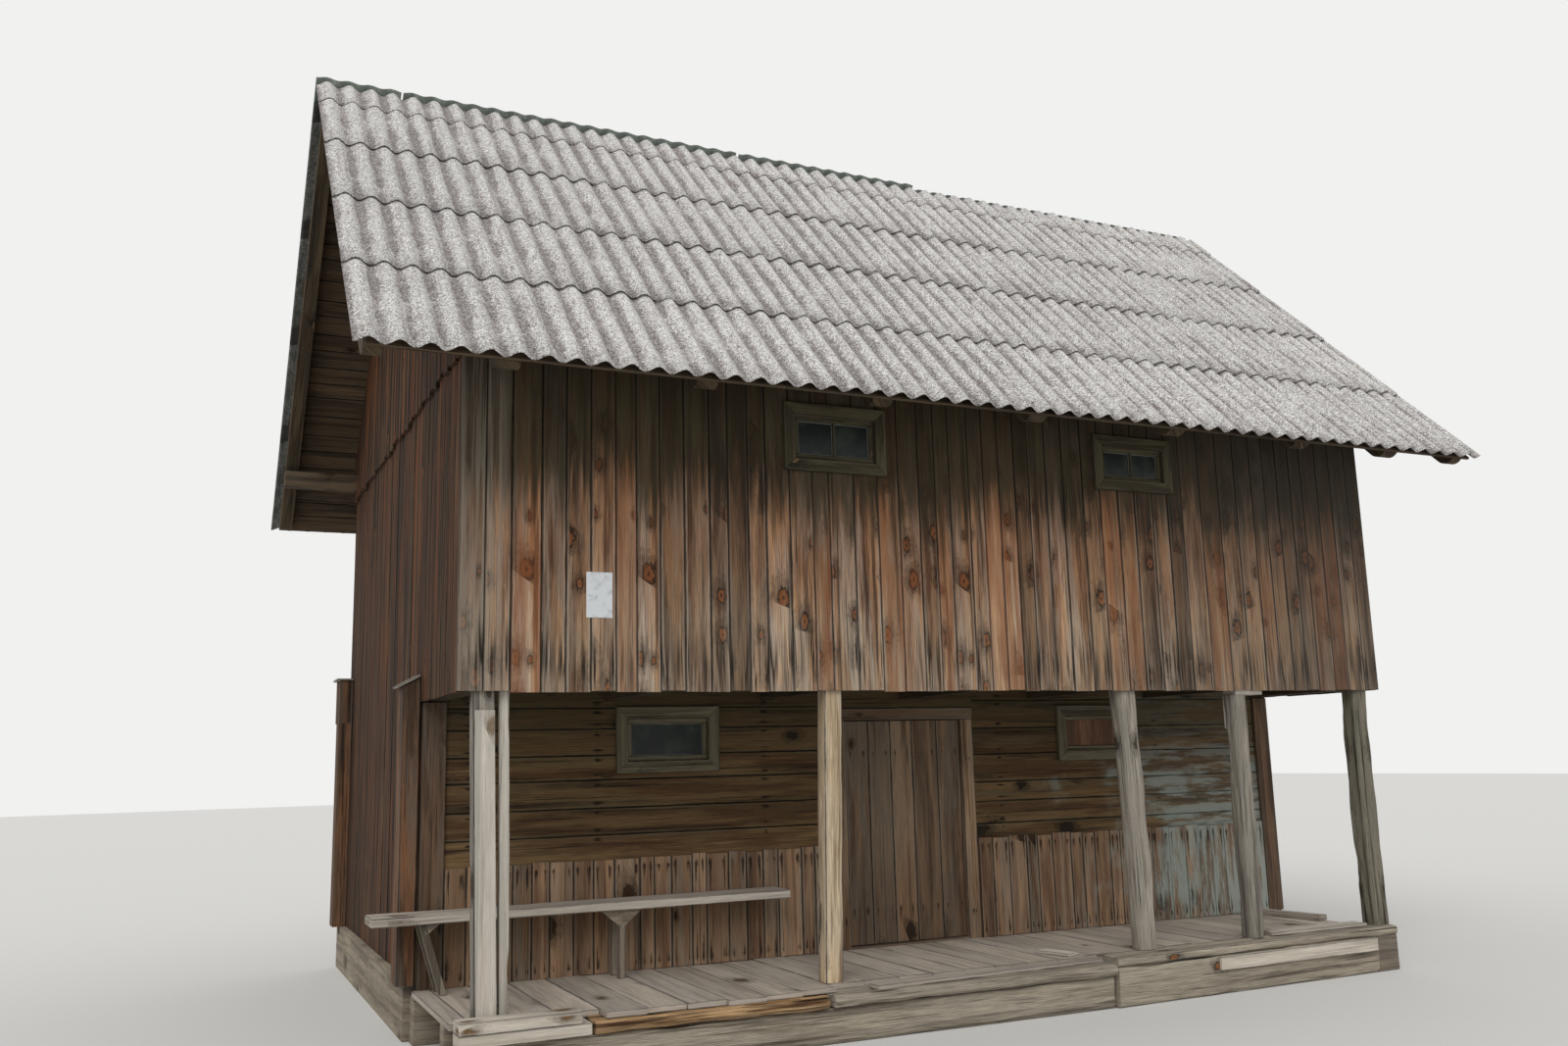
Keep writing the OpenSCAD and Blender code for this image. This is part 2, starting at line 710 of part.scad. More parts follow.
// Corrugated sheet lying on the slope from the distance s, tilted over the course below
module course(s, length, shift, lift = 0) {
    translate([-verge_out, s, roof_board_t + seat_gap + lap_rise * sheet_l / course_l + lift])
        rotate([90 - atan(lap_rise / course_l), 0, 0])
            mirror([0, 0, 1]) linear_extrude(length) wave_section(shift);
}

module roof_sheets(rear) on_slope(rear)
    for (k = [0 : courses - 1])
        course(k * course_l, min(sheet_l, slope_l - wave_h - k * course_l), k % 2);

module roof_sheets_front() color("#a39c98") house() roof_sheets(false);
module roof_sheets_rear() color("#a39c98") house() roof_sheets(true);

// The rear wings run on past the ridge and stand above the front ones. Both lie on the last
// course, which has come down its own tilt by then.
module ridge_capping() color("#7d8078") house() {
    start = slope_l - wing_l;
    lift = lap_rise * (courses * course_l - start) / course_l;
    for (rear = [false, true]) on_slope(rear)
        course(start, rear ? wing_l + ridge_stand : wing_l - wave_h * 0.6, rear ? 3 : 15, lift);
}

module door_frame() color("#6f5f4c") house() {
    front = porch_d - frame_proud;
    slab([frame_left, front, bearing_z], [door_x, frame_back, door_head_z]);
    slab([opening_right, front, bearing_z], [frame_right, frame_back, door_head_z]);
    slab([frame_left, front, door_head_z], [frame_right, frame_back, door_head_z + door_head_h]);
    slab([door_x, front, bearing_z], [opening_right, frame_back, deck_top + threshold_h]);
}

module door_leaf() color("#7b6a57") house() {
    translate([door_x + door_gap, leaf_y, leaf_z]) cube([leaf_w, door_t, leaf_h]);
    for (z = ledge_zs)
        translate([door_x + door_gap + ledge_in, ledge_y, z])
            cube([leaf_w - 2 * ledge_in, ledge_t, ledge_h]);
}

module door_straps() color("#3c3835") house()
    for (z = ledge_zs) {
        mid_z = z + ledge_h / 2;
        difference() {
            union() {
                translate([hinge_x - strap_l, strap_y, mid_z - strap_w / 2])
                    cube([strap_l, strap_t, strap_w]);
                translate([hinge_x, hinge_y, mid_z - eye_h / 2]) cylinder(r = eye_r, h = eye_h, $fn = 48);
                translate([hinge_x - eye_r, strap_y, mid_z - strap_w / 2])
                    cube([eye_r, eye_r + strap_t, strap_w]);
            }
            translate([hinge_x, hinge_y, mid_z - eye_h])
                cylinder(r = pin_r + pin_gap, h = 2 * eye_h, $fn = 48);
        }
    }

module hinge_pins() color("#332f2c") house()
    for (z = ledge_zs) {
        eye_z = z + ledge_h / 2 - eye_h / 2;
        translate([hinge_x, hinge_y, eye_z - pin_rest - hook_h])
            cylinder(r = pin_r, h = hook_h + eye_h + 10, $fn = 48);
        slab([hinge_x - pin_r, frame_back, eye_z - pin_rest - hook_h],
             [hinge_x + 60, hinge_y + pin_r, eye_z - pin_rest]);
    }

// Casing, sash and one glazing bar of a window in the wall face at y
module window_frame(w, y, bar) {
    difference() {
        translate([w[0] - casing_w, y - casing_t, w[1] - casing_w])
            cube([w[2] + 2 * casing_w, casing_t, w[3] + 2 * casing_w]);
        translate([w[0], y - casing_t - 1, w[1]]) cube([w[2], casing_t + 2, w[3]]);
    }
    difference() {
        translate([w[0], y + sash_in, w[1]]) cube([w[2], sash_t, w[3]]);
        translate([w[0] + sash_w, y, w[1] + sash_w])
            cube([w[2] - 2 * sash_w, sash_t + 20, w[3] - 2 * sash_w]);
    }
    if (bar)
        translate([w[0] + w[2] / 2 - sash_w / 4, y + sash_in, w[1] + sash_w])
            cube([sash_w / 2, sash_t / 3, w[3] - 2 * sash_w]);
}

module upper_window_frames() color("#8b8478") house()
    for (w = upper_windows) window_frame(w, 0, true);

module porch_window_frames() color("#7d7468") house()
    for (w = porch_windows) window_frame(w, porch_d, false);

module pane(w, y)
    translate([w[0] + sash_w, y + sash_in + sash_t / 2, w[1] + sash_w])
        cube([w[2] - 2 * sash_w, pane_t, w[3] - 2 * sash_w]);

module window_panes() color("#4d5750") house() {
    for (w = upper_windows) pane(w, 0);
    pane(porch_windows[0], porch_d);
}

module window_panel() color("#6b4c39") house()
    pane(porch_windows[1], porch_d);

bench_y = porch_d - board_t - bench_d;
bench_z = deck_top + bench_h - bench_t;

module bench_plank() color("#b3a99b") house()
    slab([-bench_out, bench_y, bench_z], [bench_l - bench_out, bench_y + bench_d, bench_z + bench_t]);

leg_in = 40;
leg_d = 65;
left_leg_foot = 0.0413 * bench_l;
left_leg_head = -0.006 * bench_l;
right_leg_x = 0.4521 * bench_l;
small_gusset = 75;
gusset = 130;
gusset_t = 25;

// A pair of legs from foot to head, the front one with gussets up to the plank on the sides given
// by -1 and 1
module bench_leg(foot, head, size, sides) {
    top = bench_z - deck_top;
    low = top - size;
    mid = foot + (head - foot) * low / top + leg_t / 2;
    translate([0, bench_y + leg_in, deck_top]) rotate([90, 0, 0]) mirror([0, 0, 1]) {
        for (back = [0, bench_d - 2 * leg_in - leg_d])
            translate([0, 0, back]) linear_extrude(leg_d)
                polygon([[foot, 0], [foot + leg_t, 0], [head + leg_t, top], [head, top]]);
        for (side = sides)
            linear_extrude(gusset_t)
                polygon([[mid, low], [mid + side * (size + leg_t / 2), top], [head + leg_t / 2, top]]);
    }
}

module bench_legs() color("#8f8371") house() {
    bench_leg(left_leg_foot, left_leg_head, small_gusset, [1]);
    bench_leg(right_leg_x, right_leg_x, gusset, [-1, 1]);
}

front_sill_beam();
front_sill_log();
corner_planks();
house_sills();
porch_deck();
ground_floor();
porch_post_1();
porch_post_2();
porch_post_3();
porch_post_4();
porch_post_5();
jetty_beam();
floor_joists();
upper_floor();
porch_wall_left();
porch_wall_right();
porch_wall_over_door();
upper_front_wall();
rear_wall();
left_wall();
right_wall();
left_gable();
right_gable();
front_boarding();
rear_boarding();
left_boarding();
right_boarding();
wainscot();
corner_boards();
corner_boxes();
wall_plates();
loft_beams();
rafters();
roof_boards();
roof_sheets_front();
roof_sheets_rear();
ridge_capping();
door_frame();
door_leaf();
door_straps();
hinge_pins();
upper_window_frames();
porch_window_frames();
window_panes();
window_panel();
bench_plank();
bench_legs();
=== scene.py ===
"""Looks of a raised timber granary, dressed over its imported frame.

Every piece is worked out in metres in the frame's own axes: +X to the right along the front, the
front towards -Y, +Z up, the origin on the ground under the middle of the house.
"""

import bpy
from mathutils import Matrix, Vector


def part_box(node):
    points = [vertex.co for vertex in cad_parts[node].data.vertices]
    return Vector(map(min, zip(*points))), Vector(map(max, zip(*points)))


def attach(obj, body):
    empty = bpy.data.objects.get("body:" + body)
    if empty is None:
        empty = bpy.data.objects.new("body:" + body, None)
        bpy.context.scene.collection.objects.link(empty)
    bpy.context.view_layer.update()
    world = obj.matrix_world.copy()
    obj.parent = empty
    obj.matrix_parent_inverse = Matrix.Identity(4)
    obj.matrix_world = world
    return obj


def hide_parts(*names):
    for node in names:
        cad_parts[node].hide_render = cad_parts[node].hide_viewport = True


bl_info = {
    "name": "Raised timber granary",
    "version": (1, 0, 0),
    "blender": (4, 5, 0),
    "location": "View3D > Sidebar > Granary",
    "description": "Dresses a packed granary with boards, hewn timbers and corrugated sheets",
    "category": "Add Mesh",
}

import math
import random
from types import SimpleNamespace

import bmesh
import bpy
from mathutils import Matrix, Vector, noise

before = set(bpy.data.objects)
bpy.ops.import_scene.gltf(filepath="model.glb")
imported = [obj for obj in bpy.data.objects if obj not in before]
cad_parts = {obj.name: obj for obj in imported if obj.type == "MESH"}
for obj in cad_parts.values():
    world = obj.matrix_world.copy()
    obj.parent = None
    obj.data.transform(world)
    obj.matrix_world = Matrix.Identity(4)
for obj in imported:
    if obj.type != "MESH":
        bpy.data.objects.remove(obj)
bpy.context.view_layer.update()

# Places read from the frame
FRONT_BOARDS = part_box("front_boarding")
LEFT, FRONT, JETTY = FRONT_BOARDS[0]
RIGHT = FRONT_BOARDS[1].x
BOARD = FRONT_BOARDS[1].y - FRONT
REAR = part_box("rear_boarding")[1].y
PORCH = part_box("porch_wall_left")[0].y
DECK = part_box("porch_post_2")[0].z
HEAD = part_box("porch_post_2")[1].z
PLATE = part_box("wall_plates")[1].z
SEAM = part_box("left_gable")[0].z
DOOR_LOW, DOOR_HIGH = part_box("door_frame")


def laid(spot, turn, axis="Z"):
    """The place of a piece that is turned about an axis and then moved to a spot."""
    return Matrix.Translation(spot) @ Matrix.Rotation(turn, 4, axis)


# Room between pieces that rest on each other
SEAT = 0.0003

# The roof planes. Their boards start a little above the eave line.
PITCH = math.radians(44.7)
ROOF_BOARD = 0.025
FIRST_BOARD = 0.030
ROOF_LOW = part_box("roof_boards")[0]
EAVE_Y = ROOF_LOW.y - FIRST_BOARD * math.cos(PITCH) + ROOF_BOARD * math.sin(PITCH)
EAVE_Z = ROOF_LOW.z - FIRST_BOARD * math.sin(PITCH)
SLOPE = -EAVE_Y / math.cos(PITCH)
FRONT_PLANE = laid((0, EAVE_Y, EAVE_Z), PITCH, "X")
REAR_PLANE = Matrix.Rotation(math.pi, 4, "Z") @ FRONT_PLANE

# The corrugated sheets, each of which tilts over the course below
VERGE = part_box("roof_sheets_front")[0].x
SHEET_T = 0.006
WAVE_H = 0.051
SHEET_L = 1.250
COURSE_L = 1.088
COURSES = 4
LAP_RISE = 1.8 * SHEET_T + SEAT

# Boards of the deck, of the casings and between the fourth post and the jetty beam
DECK_BOARD = 0.040
CASING_W = 0.090
CAP_BOARD_H = 0.042

# The sill right of the third log lies askew, and the deck boards start behind it
SILL_C = LEFT + 0.6028 * (RIGHT - LEFT)
SILL_OUT = 0.190
SILL_W = 0.240
SILL_ROOM = 0.006
SILL_TURN = math.radians(2.4)
RIGHT_SILL = laid((SILL_C, FRONT - SILL_OUT, 0), SILL_TURN)

# Where each axis of a board's drift reads its noise
DRIFTS = (Vector((9.3, -1.5, -8.0)), Vector((0.0, 0.0, 0.0)), Vector((6.3, 0.2, -2.7)))

# Growth rings are 2 to 5 mm apart in real pine and are drawn wider so that they show
RING = 0.012

# Kinds of node with their mode, and the property that holds the mode of each kind
EASE, PLUS, LESS = "MapRange.SMOOTHSTEP", "Math.ADD", "Math.SUBTRACT"
TIMES, TIMES_PLUS = "Math.MULTIPLY", "Math.MULTIPLY_ADD"
MODES = {"Math": "operation", "VectorMath": "operation", "MapRange": "interpolation_type"}


def linear(code):
    """An sRGB hex colour such as #8a5f45 as linear red, green, blue and alpha."""
    parts = [int(code[i:i + 2], 16) / 255 for i in (1, 3, 5)]
    return tuple(p / 12.92 if p <= 0.04045 else ((p + 0.055) / 1.055) ** 2.4 for p in parts) + (1.0,)


def paint(colour):
    """A colour for a node, from sRGB hex or from a colour property."""
    return linear(colour) if isinstance(colour, str) else (*colour[:3], 1.0)


def under_roof(y):
    """Height of the roof boards' underside over a line y."""
    return EAVE_Z + (min(y, -y) - EAVE_Y) * math.tan(PITCH)


def behind_sill(x):
    """The line behind the right sill, a little clear of it."""
    return FRONT + SILL_W + SILL_ROOM - SILL_OUT + (x - SILL_C) * math.tan(SILL_TURN)


def measure(name, text, size, low, high):
    """A length property with its default and its range."""
    return bpy.props.FloatProperty(name=name, description=text, default=size, min=low, max=high,
                                   unit="LENGTH")


def shade(name, text, code):
    """A colour property with a default written as sRGB hex."""
    return bpy.props.FloatVectorProperty(
        name=name, description=text, default=linear(code)[:3], subtype="COLOR", min=0, max=1)


class GranarySizes(bpy.types.PropertyGroup):
    """Sizes that a user would change."""
    board_w: measure("Board width", "Mean width of the upright boards", 0.165, 0.10, 0.25)
    board_gap: measure("Board gap", "Gap between neighbouring boards", 0.006, 0.001, 0.012)
    plank_h: measure("Plank height", "Mean height of the horizontal wall planks", 0.19, 0.12, 0.35)
    deck_w: measure("Deck board width", "Width of the deck boards", 0.268, 0.15, 0.30)
    wave: measure("Wave", "Distance between two crests of the corrugated sheets", 0.177, 0.13, 0.19)
    sheet_waves: bpy.props.IntProperty(
        name="Waves a sheet", description="Waves that one sheet covers between its side laps",
        default=6, min=4, max=8)


class GranaryColours(bpy.types.PropertyGroup):
    """Colours that a user would change."""
    front_heart: shade("Front boards", "Weathered pine of the upper front", "#745640")
    # The gable colour is darker than the wood alone: it holds painted shade of the sheltered sides.
    gable_heart: shade("Gable boards", "Streaky red-brown pine of the gables", "#3f2d21")
    porch_heart: shade("Porch planks", "Smoky planks behind the porch", "#553e28")
    wainscot_heart: shade("Wainscot", "Upright boards of the porch wall", "#6d5340")
    deck_heart: shade("Deck boards", "Trodden boards of the porch", "#a99d8e")
    post_heart: shade("Grey posts", "Hewn posts of the porch", "#7c756a")
    crest: shade("Sheet crests", "Lichened crests of the roof sheets", "#bcbab6")
    valley: shade("Sheet valleys", "Mauve-grey valleys of the roof sheets", "#837a79")


def put(tree, kind, *inputs, out=0, **settings):
    """Adds a node. A kind may hold its mode after a point. Inputs are given in order, or by name
    where the name has a capital, and settings by name. Gives the output socket, or the node if out
    is None."""
    kind, _, mode = kind.partition(".")
    made = tree.nodes.new("ShaderNode" + kind)
    if mode:
        setattr(made, MODES[kind], mode)
    values = dict(enumerate(inputs))
    for name, value in settings.items():
        if name[0].isupper():
            values[name] = value
        else:
            setattr(made, name, value)
    for key, value in values.items():
        if isinstance(value, bpy.types.NodeSocket):
            tree.links.new(value, made.inputs[key])
        elif value is not None:
            made.inputs[key].default_value = value
    return made if out is None else made.outputs[out]


def blend(finish, amount, colour, mode="MIX"):
    """Lays a colour over a finish by an amount. Both may be sockets."""
    if not isinstance(colour, bpy.types.NodeSocket):
        colour = paint(colour)
    finish.colour = put(finish.tree, "Mix", amount, *[None] * 5, finish.colour, colour, out=2,
                        data_type="RGBA", blend_type=mode)


def stain(finish, pattern, low, high, share, colour):
    """Lays a colour over a finish where a pattern passes from one level to another, at the most by
    a share."""
    blend(finish, put(finish.tree, EASE, pattern, low, high, 0.0, share), colour)


def start_finish(name):
    """A material with the places in the house that its patterns read."""
    mat = bpy.data.materials.new(name)
    mat.use_nodes = True
    made = SimpleNamespace(mat=mat, tree=mat.node_tree)
    made.object = put(made.tree, "TexCoord", out=3)
    made.x, made.y, made.z = put(made.tree, "SeparateXYZ", made.object, out=None).outputs
    return made


def lay_grain(made, grain=None):
    """Adds what a board's patterns read: u along the grain and v across it in metres, and random
    numbers for each board. grain names the two directions on a CAD node."""
    tree = made.tree
    if grain is None:
        places = put(tree, "UVMap", uv_map="grain")
        made.u, made.v, _ = put(tree, "SeparateXYZ", places, out=None).outputs
        made.board = put(tree, "Attribute", out=2, attribute_name="board")
    else:
        folded = put(tree, TIMES, put(tree, "Math.ABSOLUTE", made.y), -1.0)
        spot = put(tree, "CombineXYZ", made.x, folded, made.z)
        made.u, made.v = (put(tree, "VectorMath.DOT_PRODUCT", spot, way, out=1) for way in grain)
        made.board = put(tree, "Value")
        made.board.default_value = 0.37
    flat = put(tree, "CombineXYZ", made.u, made.v, 0.0)
    made.place = put(tree, "VectorMath.MULTIPLY_ADD", made.board, (41.7, 7.3, 13.1), flat)
    lots = put(tree, "TexWhiteNoise", W=made.board, out=1, noise_dimensions="1D")
    made.hash, made.hash_2, made.hash_3 = put(tree, "SeparateXYZ", lots, out=None).outputs


def stretched(finish, along, across, detail=3.0, rough=0.6):
    """Noise drawn out along the grain: repeats a metre along and across it."""
    place = put(finish.tree, "VectorMath.MULTIPLY", finish.place, (along, across, 1.0))
    return put(finish.tree, "TexNoise", Vector=place, Scale=1.0, Detail=detail, Roughness=rough)


def spots(finish, scale, detail, rough=0.5):
    """Noise that runs on over the whole house: repeats a metre."""
    return put(finish.tree, "TexNoise", Vector=finish.object, Scale=scale, Detail=detail,
               Roughness=rough)


def end_finish(finish, roughness, bump=0.5, depth=0.004):
    """Links colour and relief to the shader."""
    shader = finish.tree.nodes["Principled BSDF"]
    finish.tree.links.new(finish.colour, shader.inputs["Base Color"])
    shader.inputs["Roughness"].default_value = roughness
    shader.inputs["Specular IOR Level"].default_value = 0.25
    relief = put(finish.tree, "Bump", Strength=bump, Distance=depth, Height=finish.relief)
    finish.tree.links.new(relief, shader.inputs["Normal"])
    return finish.mat


def timber(name, heart, pale, dark, silver, bleach=0.4, knots=0.12, checks=0.5, grain=None,
           contrast=1.0, spread=0.5, knot_core="#8a5a34", rings=0.3, seam=0.85):
    """Old sawn pine: broad dark and pale streaks with fine fibres, growth rings that flow round tan
    knots with dark rims, silvery fibres where the weather has reached it, and drying cracks."""
    made = start_finish(name)
    lay_grain(made, grain)
    tree = made.tree
    fibre = stretched(made, 5.0, 220.0, 3.0, 0.75)
    sway = stretched(made, 0.8, 3.5, 2.0)

    cells = put(tree, "VectorMath.MULTIPLY", made.place, (3.4, 5.6, 1.0))
    cell = put(tree, "TexVoronoi", Vector=cells, Scale=1.0, Randomness=1.0, out=None,
               voronoi_dimensions="2D")
    chance = put(tree, "SeparateXYZ", cell.outputs[1], out=None).outputs
    has_knot = put(tree, "Math.LESS_THAN", chance[0], knots)
    radius = put(tree, "MapRange", chance[1], 0.0, 1.0, 0.07, 0.24)
    uneven = put(tree, "MapRange", stretched(made, 26.0, 40.0, 3.0), 0.3, 0.7, 0.65, 1.35)
    reach = put(tree, TIMES, put(tree, "Math.DIVIDE", cell.outputs[0], radius), uneven)
    core, disc, rim, halo = (
        put(tree, TIMES, put(tree, EASE, reach, outside, inside), has_knot)
        for outside, inside in ((0.30, 0.12), (0.92, 0.66), (1.30, 1.0), (3.4, 1.0)))

    flow = put(tree, TIMES_PLUS, halo, 10.0, put(tree, TIMES, sway, 26.0))
    phase = put(tree, TIMES_PLUS, made.v, 2 * math.pi / RING, flow)
    lines = put(tree, EASE, put(tree, "Math.SINE", phase), 0.1, 0.95)
    shown = put(tree, EASE, stretched(made, 1.2, 12.0, 2.0), 0.42, 0.6)
    lines = put(tree, TIMES, lines, put(tree, "Math.MAXIMUM", shown, halo))
    crack = put(tree, EASE, stretched(made, 0.7, 70.0, 2.0), 0.67, 0.70)
    crack = put(tree, TIMES, crack, checks)

    made.colour = paint(heart)
    stain(made, stretched(made, 0.9, 11.0, 4.0), 0.42, 0.58, 1.0, pale)
    stain(made, made.hash_2, 0.55, 1.0, 0.7, pale)
    weather = put(tree, EASE, stretched(made, 0.9, 8.0, 5.0, 0.65), 0.66 - 0.5 * bleach,
                  0.76 - 0.45 * bleach)
    hairs = put(tree, EASE, stretched(made, 2.5, 110.0, 3.0), 0.40, 0.54, 0.35, 1.0)
    share = put(tree, "MapRange", made.hash_3, 0.0, 1.0, 0.15, 1.0)
    blend(made, put(tree, TIMES, put(tree, TIMES, weather, hairs), share), silver)
    stain(made, stretched(made, 0.5, 14.0, 4.0, 0.65), 0.53, 0.66, min(1.0, 0.75 * contrast), dark)
    stain(made, stretched(made, 1.3, 60.0, 4.0, 0.7), 0.54, 0.68, min(1.0, 0.6 * contrast), dark)
    stain(made, stretched(made, 1.1, 48.0, 3.0, 0.7), 0.57, 0.68, 0.5, pale)
    blend(made, put(tree, TIMES, lines, rings), dark)
    for pattern, low, high, swing in ((fibre, 0.3, 0.7, 0.4 * contrast),
                                      (made.hash, 0.0, 1.0, spread / 2)):
        blend(made, 1.0, put(tree, "MapRange", pattern, low, high, 1.0 - swing, 1.0 + swing), "MULTIPLY")
    for ring, amount, colour in ((halo, 0.55, dark), (rim, 0.95, dark), (disc, 1.0, knot_core),
                                 (core, 0.8, dark)):
        blend(made, put(tree, TIMES, ring, amount), colour)
    if grain is None:
        half = put(tree, "Attribute", out=2, attribute_name="half")
        made.edge = put(tree, LESS, half, put(tree, "Math.ABSOLUTE", made.v))
        ragged = put(tree, PLUS, made.edge, put(tree, "MapRange", fibre, 0.3, 0.7, -0.004, 0.004))
        # A pale band along each long edge: partly wear, partly a painted highlight.
        lit = put(tree, TIMES, put(tree, EASE, ragged, 0.020, 0.012, 0.0, 0.65),
                  put(tree, EASE, stretched(made, 0.7, 5.0), 0.4, 0.6, 0.25, 1.0))
        blend(made, lit, silver)
        # A near-black line at the very edge: partly dirt in the joint, partly painted shade of the gap
        # between boards.
        stain(made, ragged, 0.007, 0.003, seam, "#0f0c09")
    blend(made, put(tree, TIMES, crack, 0.9), "#120f0c")
    relief = put(tree, TIMES_PLUS, crack, -1.4, fibre)
    made.relief = put(tree, TIMES_PLUS, lines, -0.3, relief)
    return made


def smoke(finish, low, peak, high, colour, strength, share):
    """Stains like thin flames in a band of the board's length, where iron and rain have blackened
    the wood: most near the edges, where the nails are, and only on a share of the boards."""
    tree = finish.tree
    tongues = put(tree, EASE, stretched(finish, 1.4, 60.0, 2.0, 0.5), 0.49, 0.55)
    drift = put(tree, "MapRange", stretched(finish, 1.0, 48.0, 2.0), 0.3, 0.7, -0.10, 0.10)
    drift = put(tree, TIMES_PLUS, finish.hash_3, 0.14, drift)
    place = put(tree, LESS, finish.u, drift)
    band = put(tree, TIMES, put(tree, EASE, place, low, peak), put(tree, EASE, place, high, peak))
    near = put(tree, EASE, finish.edge, 0.080, 0.020, 0.5, 1.0)
    some = put(tree, EASE, finish.hash_2, share + 0.15, share - 0.15, 0.12, 1.0)
    amount = put(tree, TIMES, put(tree, TIMES, tongues, band), put(tree, TIMES, near, some))
    blend(finish, put(tree, TIMES, amount, strength), colour)


def nail_flares(finish, along, row, up, down, width, inset, colour, strength=0.85):
    """Iron stains that run off the two nails of a board: ragged flames that narrow away from the
    row, which lies at a place along the board."""
    tree = finish.tree
    rise = put(tree, LESS, along, row)
    upper = put(tree, "Math.GREATER_THAN", rise, 0.0)
    reach = put(tree, TIMES, put(tree, "MapRange", upper, 0.0, 1.0, down, up),
                put(tree, "MapRange", finish.hash_2, 0.0, 1.0, 0.35, 1.2))
    far = put(tree, "Math.DIVIDE", put(tree, "Math.ABSOLUTE", rise), reach)
    room = put(tree, "MapRange", far, 0.0, 1.0, width, 0.0, clamp=False)
    side = put(tree, "Math.ABSOLUTE", put(tree, LESS, finish.edge, inset))
    wild = put(tree, "MapRange", stretched(finish, 3.0, 75.0, 4.0, 0.7), 0.3, 0.7, -0.016, 0.016)
    side = put(tree, PLUS, side, wild)
    stain(finish, put(tree, LESS, room, side), -0.002, 0.004, strength, colour)


def front_board_finish(colours):
    """Weathered pine of the upper front: dark and mossy under the eave, the dark partly soot and
    partly painted shade; red-brown below it and silvering towards the foot, where rain and iron nails
    have drawn dark flames."""
    made = timber("weathered_front_pine", colours.front_heart, "#a88665", "#2e2118", "#a39788",
                  bleach=0.44, knots=0.42, checks=1.0, spread=0.65, knot_core="#7d5030")
    tree = made.tree
    lift = put(tree, "MapRange", made.hash_3, 0.0, 1.0, -0.16, 0.16)
    ragged = put(tree, "MapRange", stretched(made, 1.5, 26.0, 4.0), 0.3, 0.7, -0.22, 0.22)
    height = put(tree, PLUS, put(tree, PLUS, made.u, lift), ragged)
    foot = put(tree, TIMES, put(tree, EASE, height, 0.8, 0.1, 0.0, 0.4),
               put(tree, EASE, stretched(made, 2.0, 50.0, 3.0), 0.42, 0.58, 0.1, 1.0))
    blend(made, foot, "#8f8374")
    red = put(tree, TIMES, put(tree, EASE, height, 0.4, 0.95), put(tree, EASE, height, 1.8, 1.4))
    blend(made, put(tree, TIMES, red, 0.45), "#b58c74", "MULTIPLY")
    rust = put(tree, TIMES, put(tree, EASE, made.hash_2, 0.70, 0.84),
               put(tree, EASE, stretched(made, 0.6, 11.0), 0.4, 0.6))
    blend(made, put(tree, TIMES, rust, 0.6), "#7f4b2b")
    stain(made, made.hash_3, 0.10, 0.05, 0.5, "#241b14")
    # Darker towards the top under the eave: partly soot and staining, partly painted shade of the eave.
    stain(made, height, 1.05, 1.6, 0.88, "#30291b")
    mossy = put(tree, TIMES, put(tree, EASE, height, 1.4, 1.8),
                put(tree, EASE, stretched(made, 0.8, 26.0), 0.5, 0.66))
    blend(made, put(tree, TIMES, mossy, 0.4), "#4b4932")
    corner = put(tree, TIMES, put(tree, EASE, made.x, LEFT + 0.34, LEFT + 0.24),
                 put(tree, EASE, stretched(made, 0.8, 30.0, 3.0), 0.44, 0.56, 0.2, 0.9))
    blend(made, put(tree, TIMES, corner, 0.6), "#857b6e")
    smoke(made, -0.10, 0.10, 0.44, "#14100c", 0.95, 0.8)
    smoke(made, 1.10, 1.36, 1.75, "#17130e", 0.75, 0.4)
    stain(made, made.x, 0.4, 3.4, 0.45, "#3d3a35")
    return end_finish(made, 0.92, 0.9)


def gable_board_finish(colours):
    """Pine of the sheltered sides: near-black, partly its own dark tone and partly painted shade, with
    red-brown and orange streaks side by side.
    """
    made = timber("streaky_gable_pine", colours.gable_heart, "#64402a", "#15100c", "#4a3b2c",
                  bleach=0.46, knots=0.04, checks=1.0, contrast=1.2, spread=0.9, rings=0.3, seam=1.0)
    for along, across, low, high, share, colour in (
            (0.35, 9.0, 0.44, 0.60, 0.6, "#251d16"), (0.5, 34.0, 0.56, 0.61, 0.7, "#8f5530"),
            (0.8, 48.0, 0.60, 0.65, 0.6, "#85745d"), (0.4, 22.0, 0.54, 0.62, 0.65, "#17120e")):
        stain(made, stretched(made, along, across), low, high, share, colour)
    # Tints and darkens the whole finish: partly its own hue, partly painted shade of the sheltered sides.
    blend(made, 1.0, "#e3dcc8", "MULTIPLY")
    return end_finish(made, 0.9, 0.9)


def porch_plank_finish(colours):
    """Smoke-dark planks behind the porch, greener towards the top, with columns of iron stains and
    a thin blue lime wash that is left towards the right end."""
    made = timber("smoky_porch_plank", colours.porch_heart, "#6f583b", "#1a140e", "#5f553f",
                  bleach=0.36, knots=0.08, checks=0.8, spread=0.4, contrast=0.85, knot_core="#2a2015",
                  rings=0.15)
    stain(made, made.z, DECK + 1.35, JETTY, 0.5, "#302e20")
    for column in (0.14, 0.36, 1.30, 2.66, 4.86, 6.55):
        nail_flares(made, made.x, LEFT + column, 0.050, 0.035, 0.012, 0.035, "#0f0c09")
    lime_wash(made, 0.85)
    return end_finish(made, 0.9, 0.8)


def lime_wash(finish, strength):
    """Remains of a pale blue wash near the right end of the porch wall."""
    tree = finish.tree
    worn = put(tree, "MapRange", spots(finish, 2.6, 6.0), 0.3, 0.7, -0.9, 0.9)
    left = put(tree, EASE, put(tree, PLUS, finish.x, worn), RIGHT - 2.0, RIGHT - 1.1, 0.0, strength)
    low = put(tree, EASE, finish.z, JETTY - 0.25, JETTY - 0.75, 0.15, 1.0)
    thin = put(tree, EASE, stretched(finish, 1.6, 10.0, 5.0, 0.7), 0.58, 0.44, 0.1, 0.85)
    blend(finish, put(tree, TIMES, put(tree, TIMES, left, low), thin), "#9aa49d")


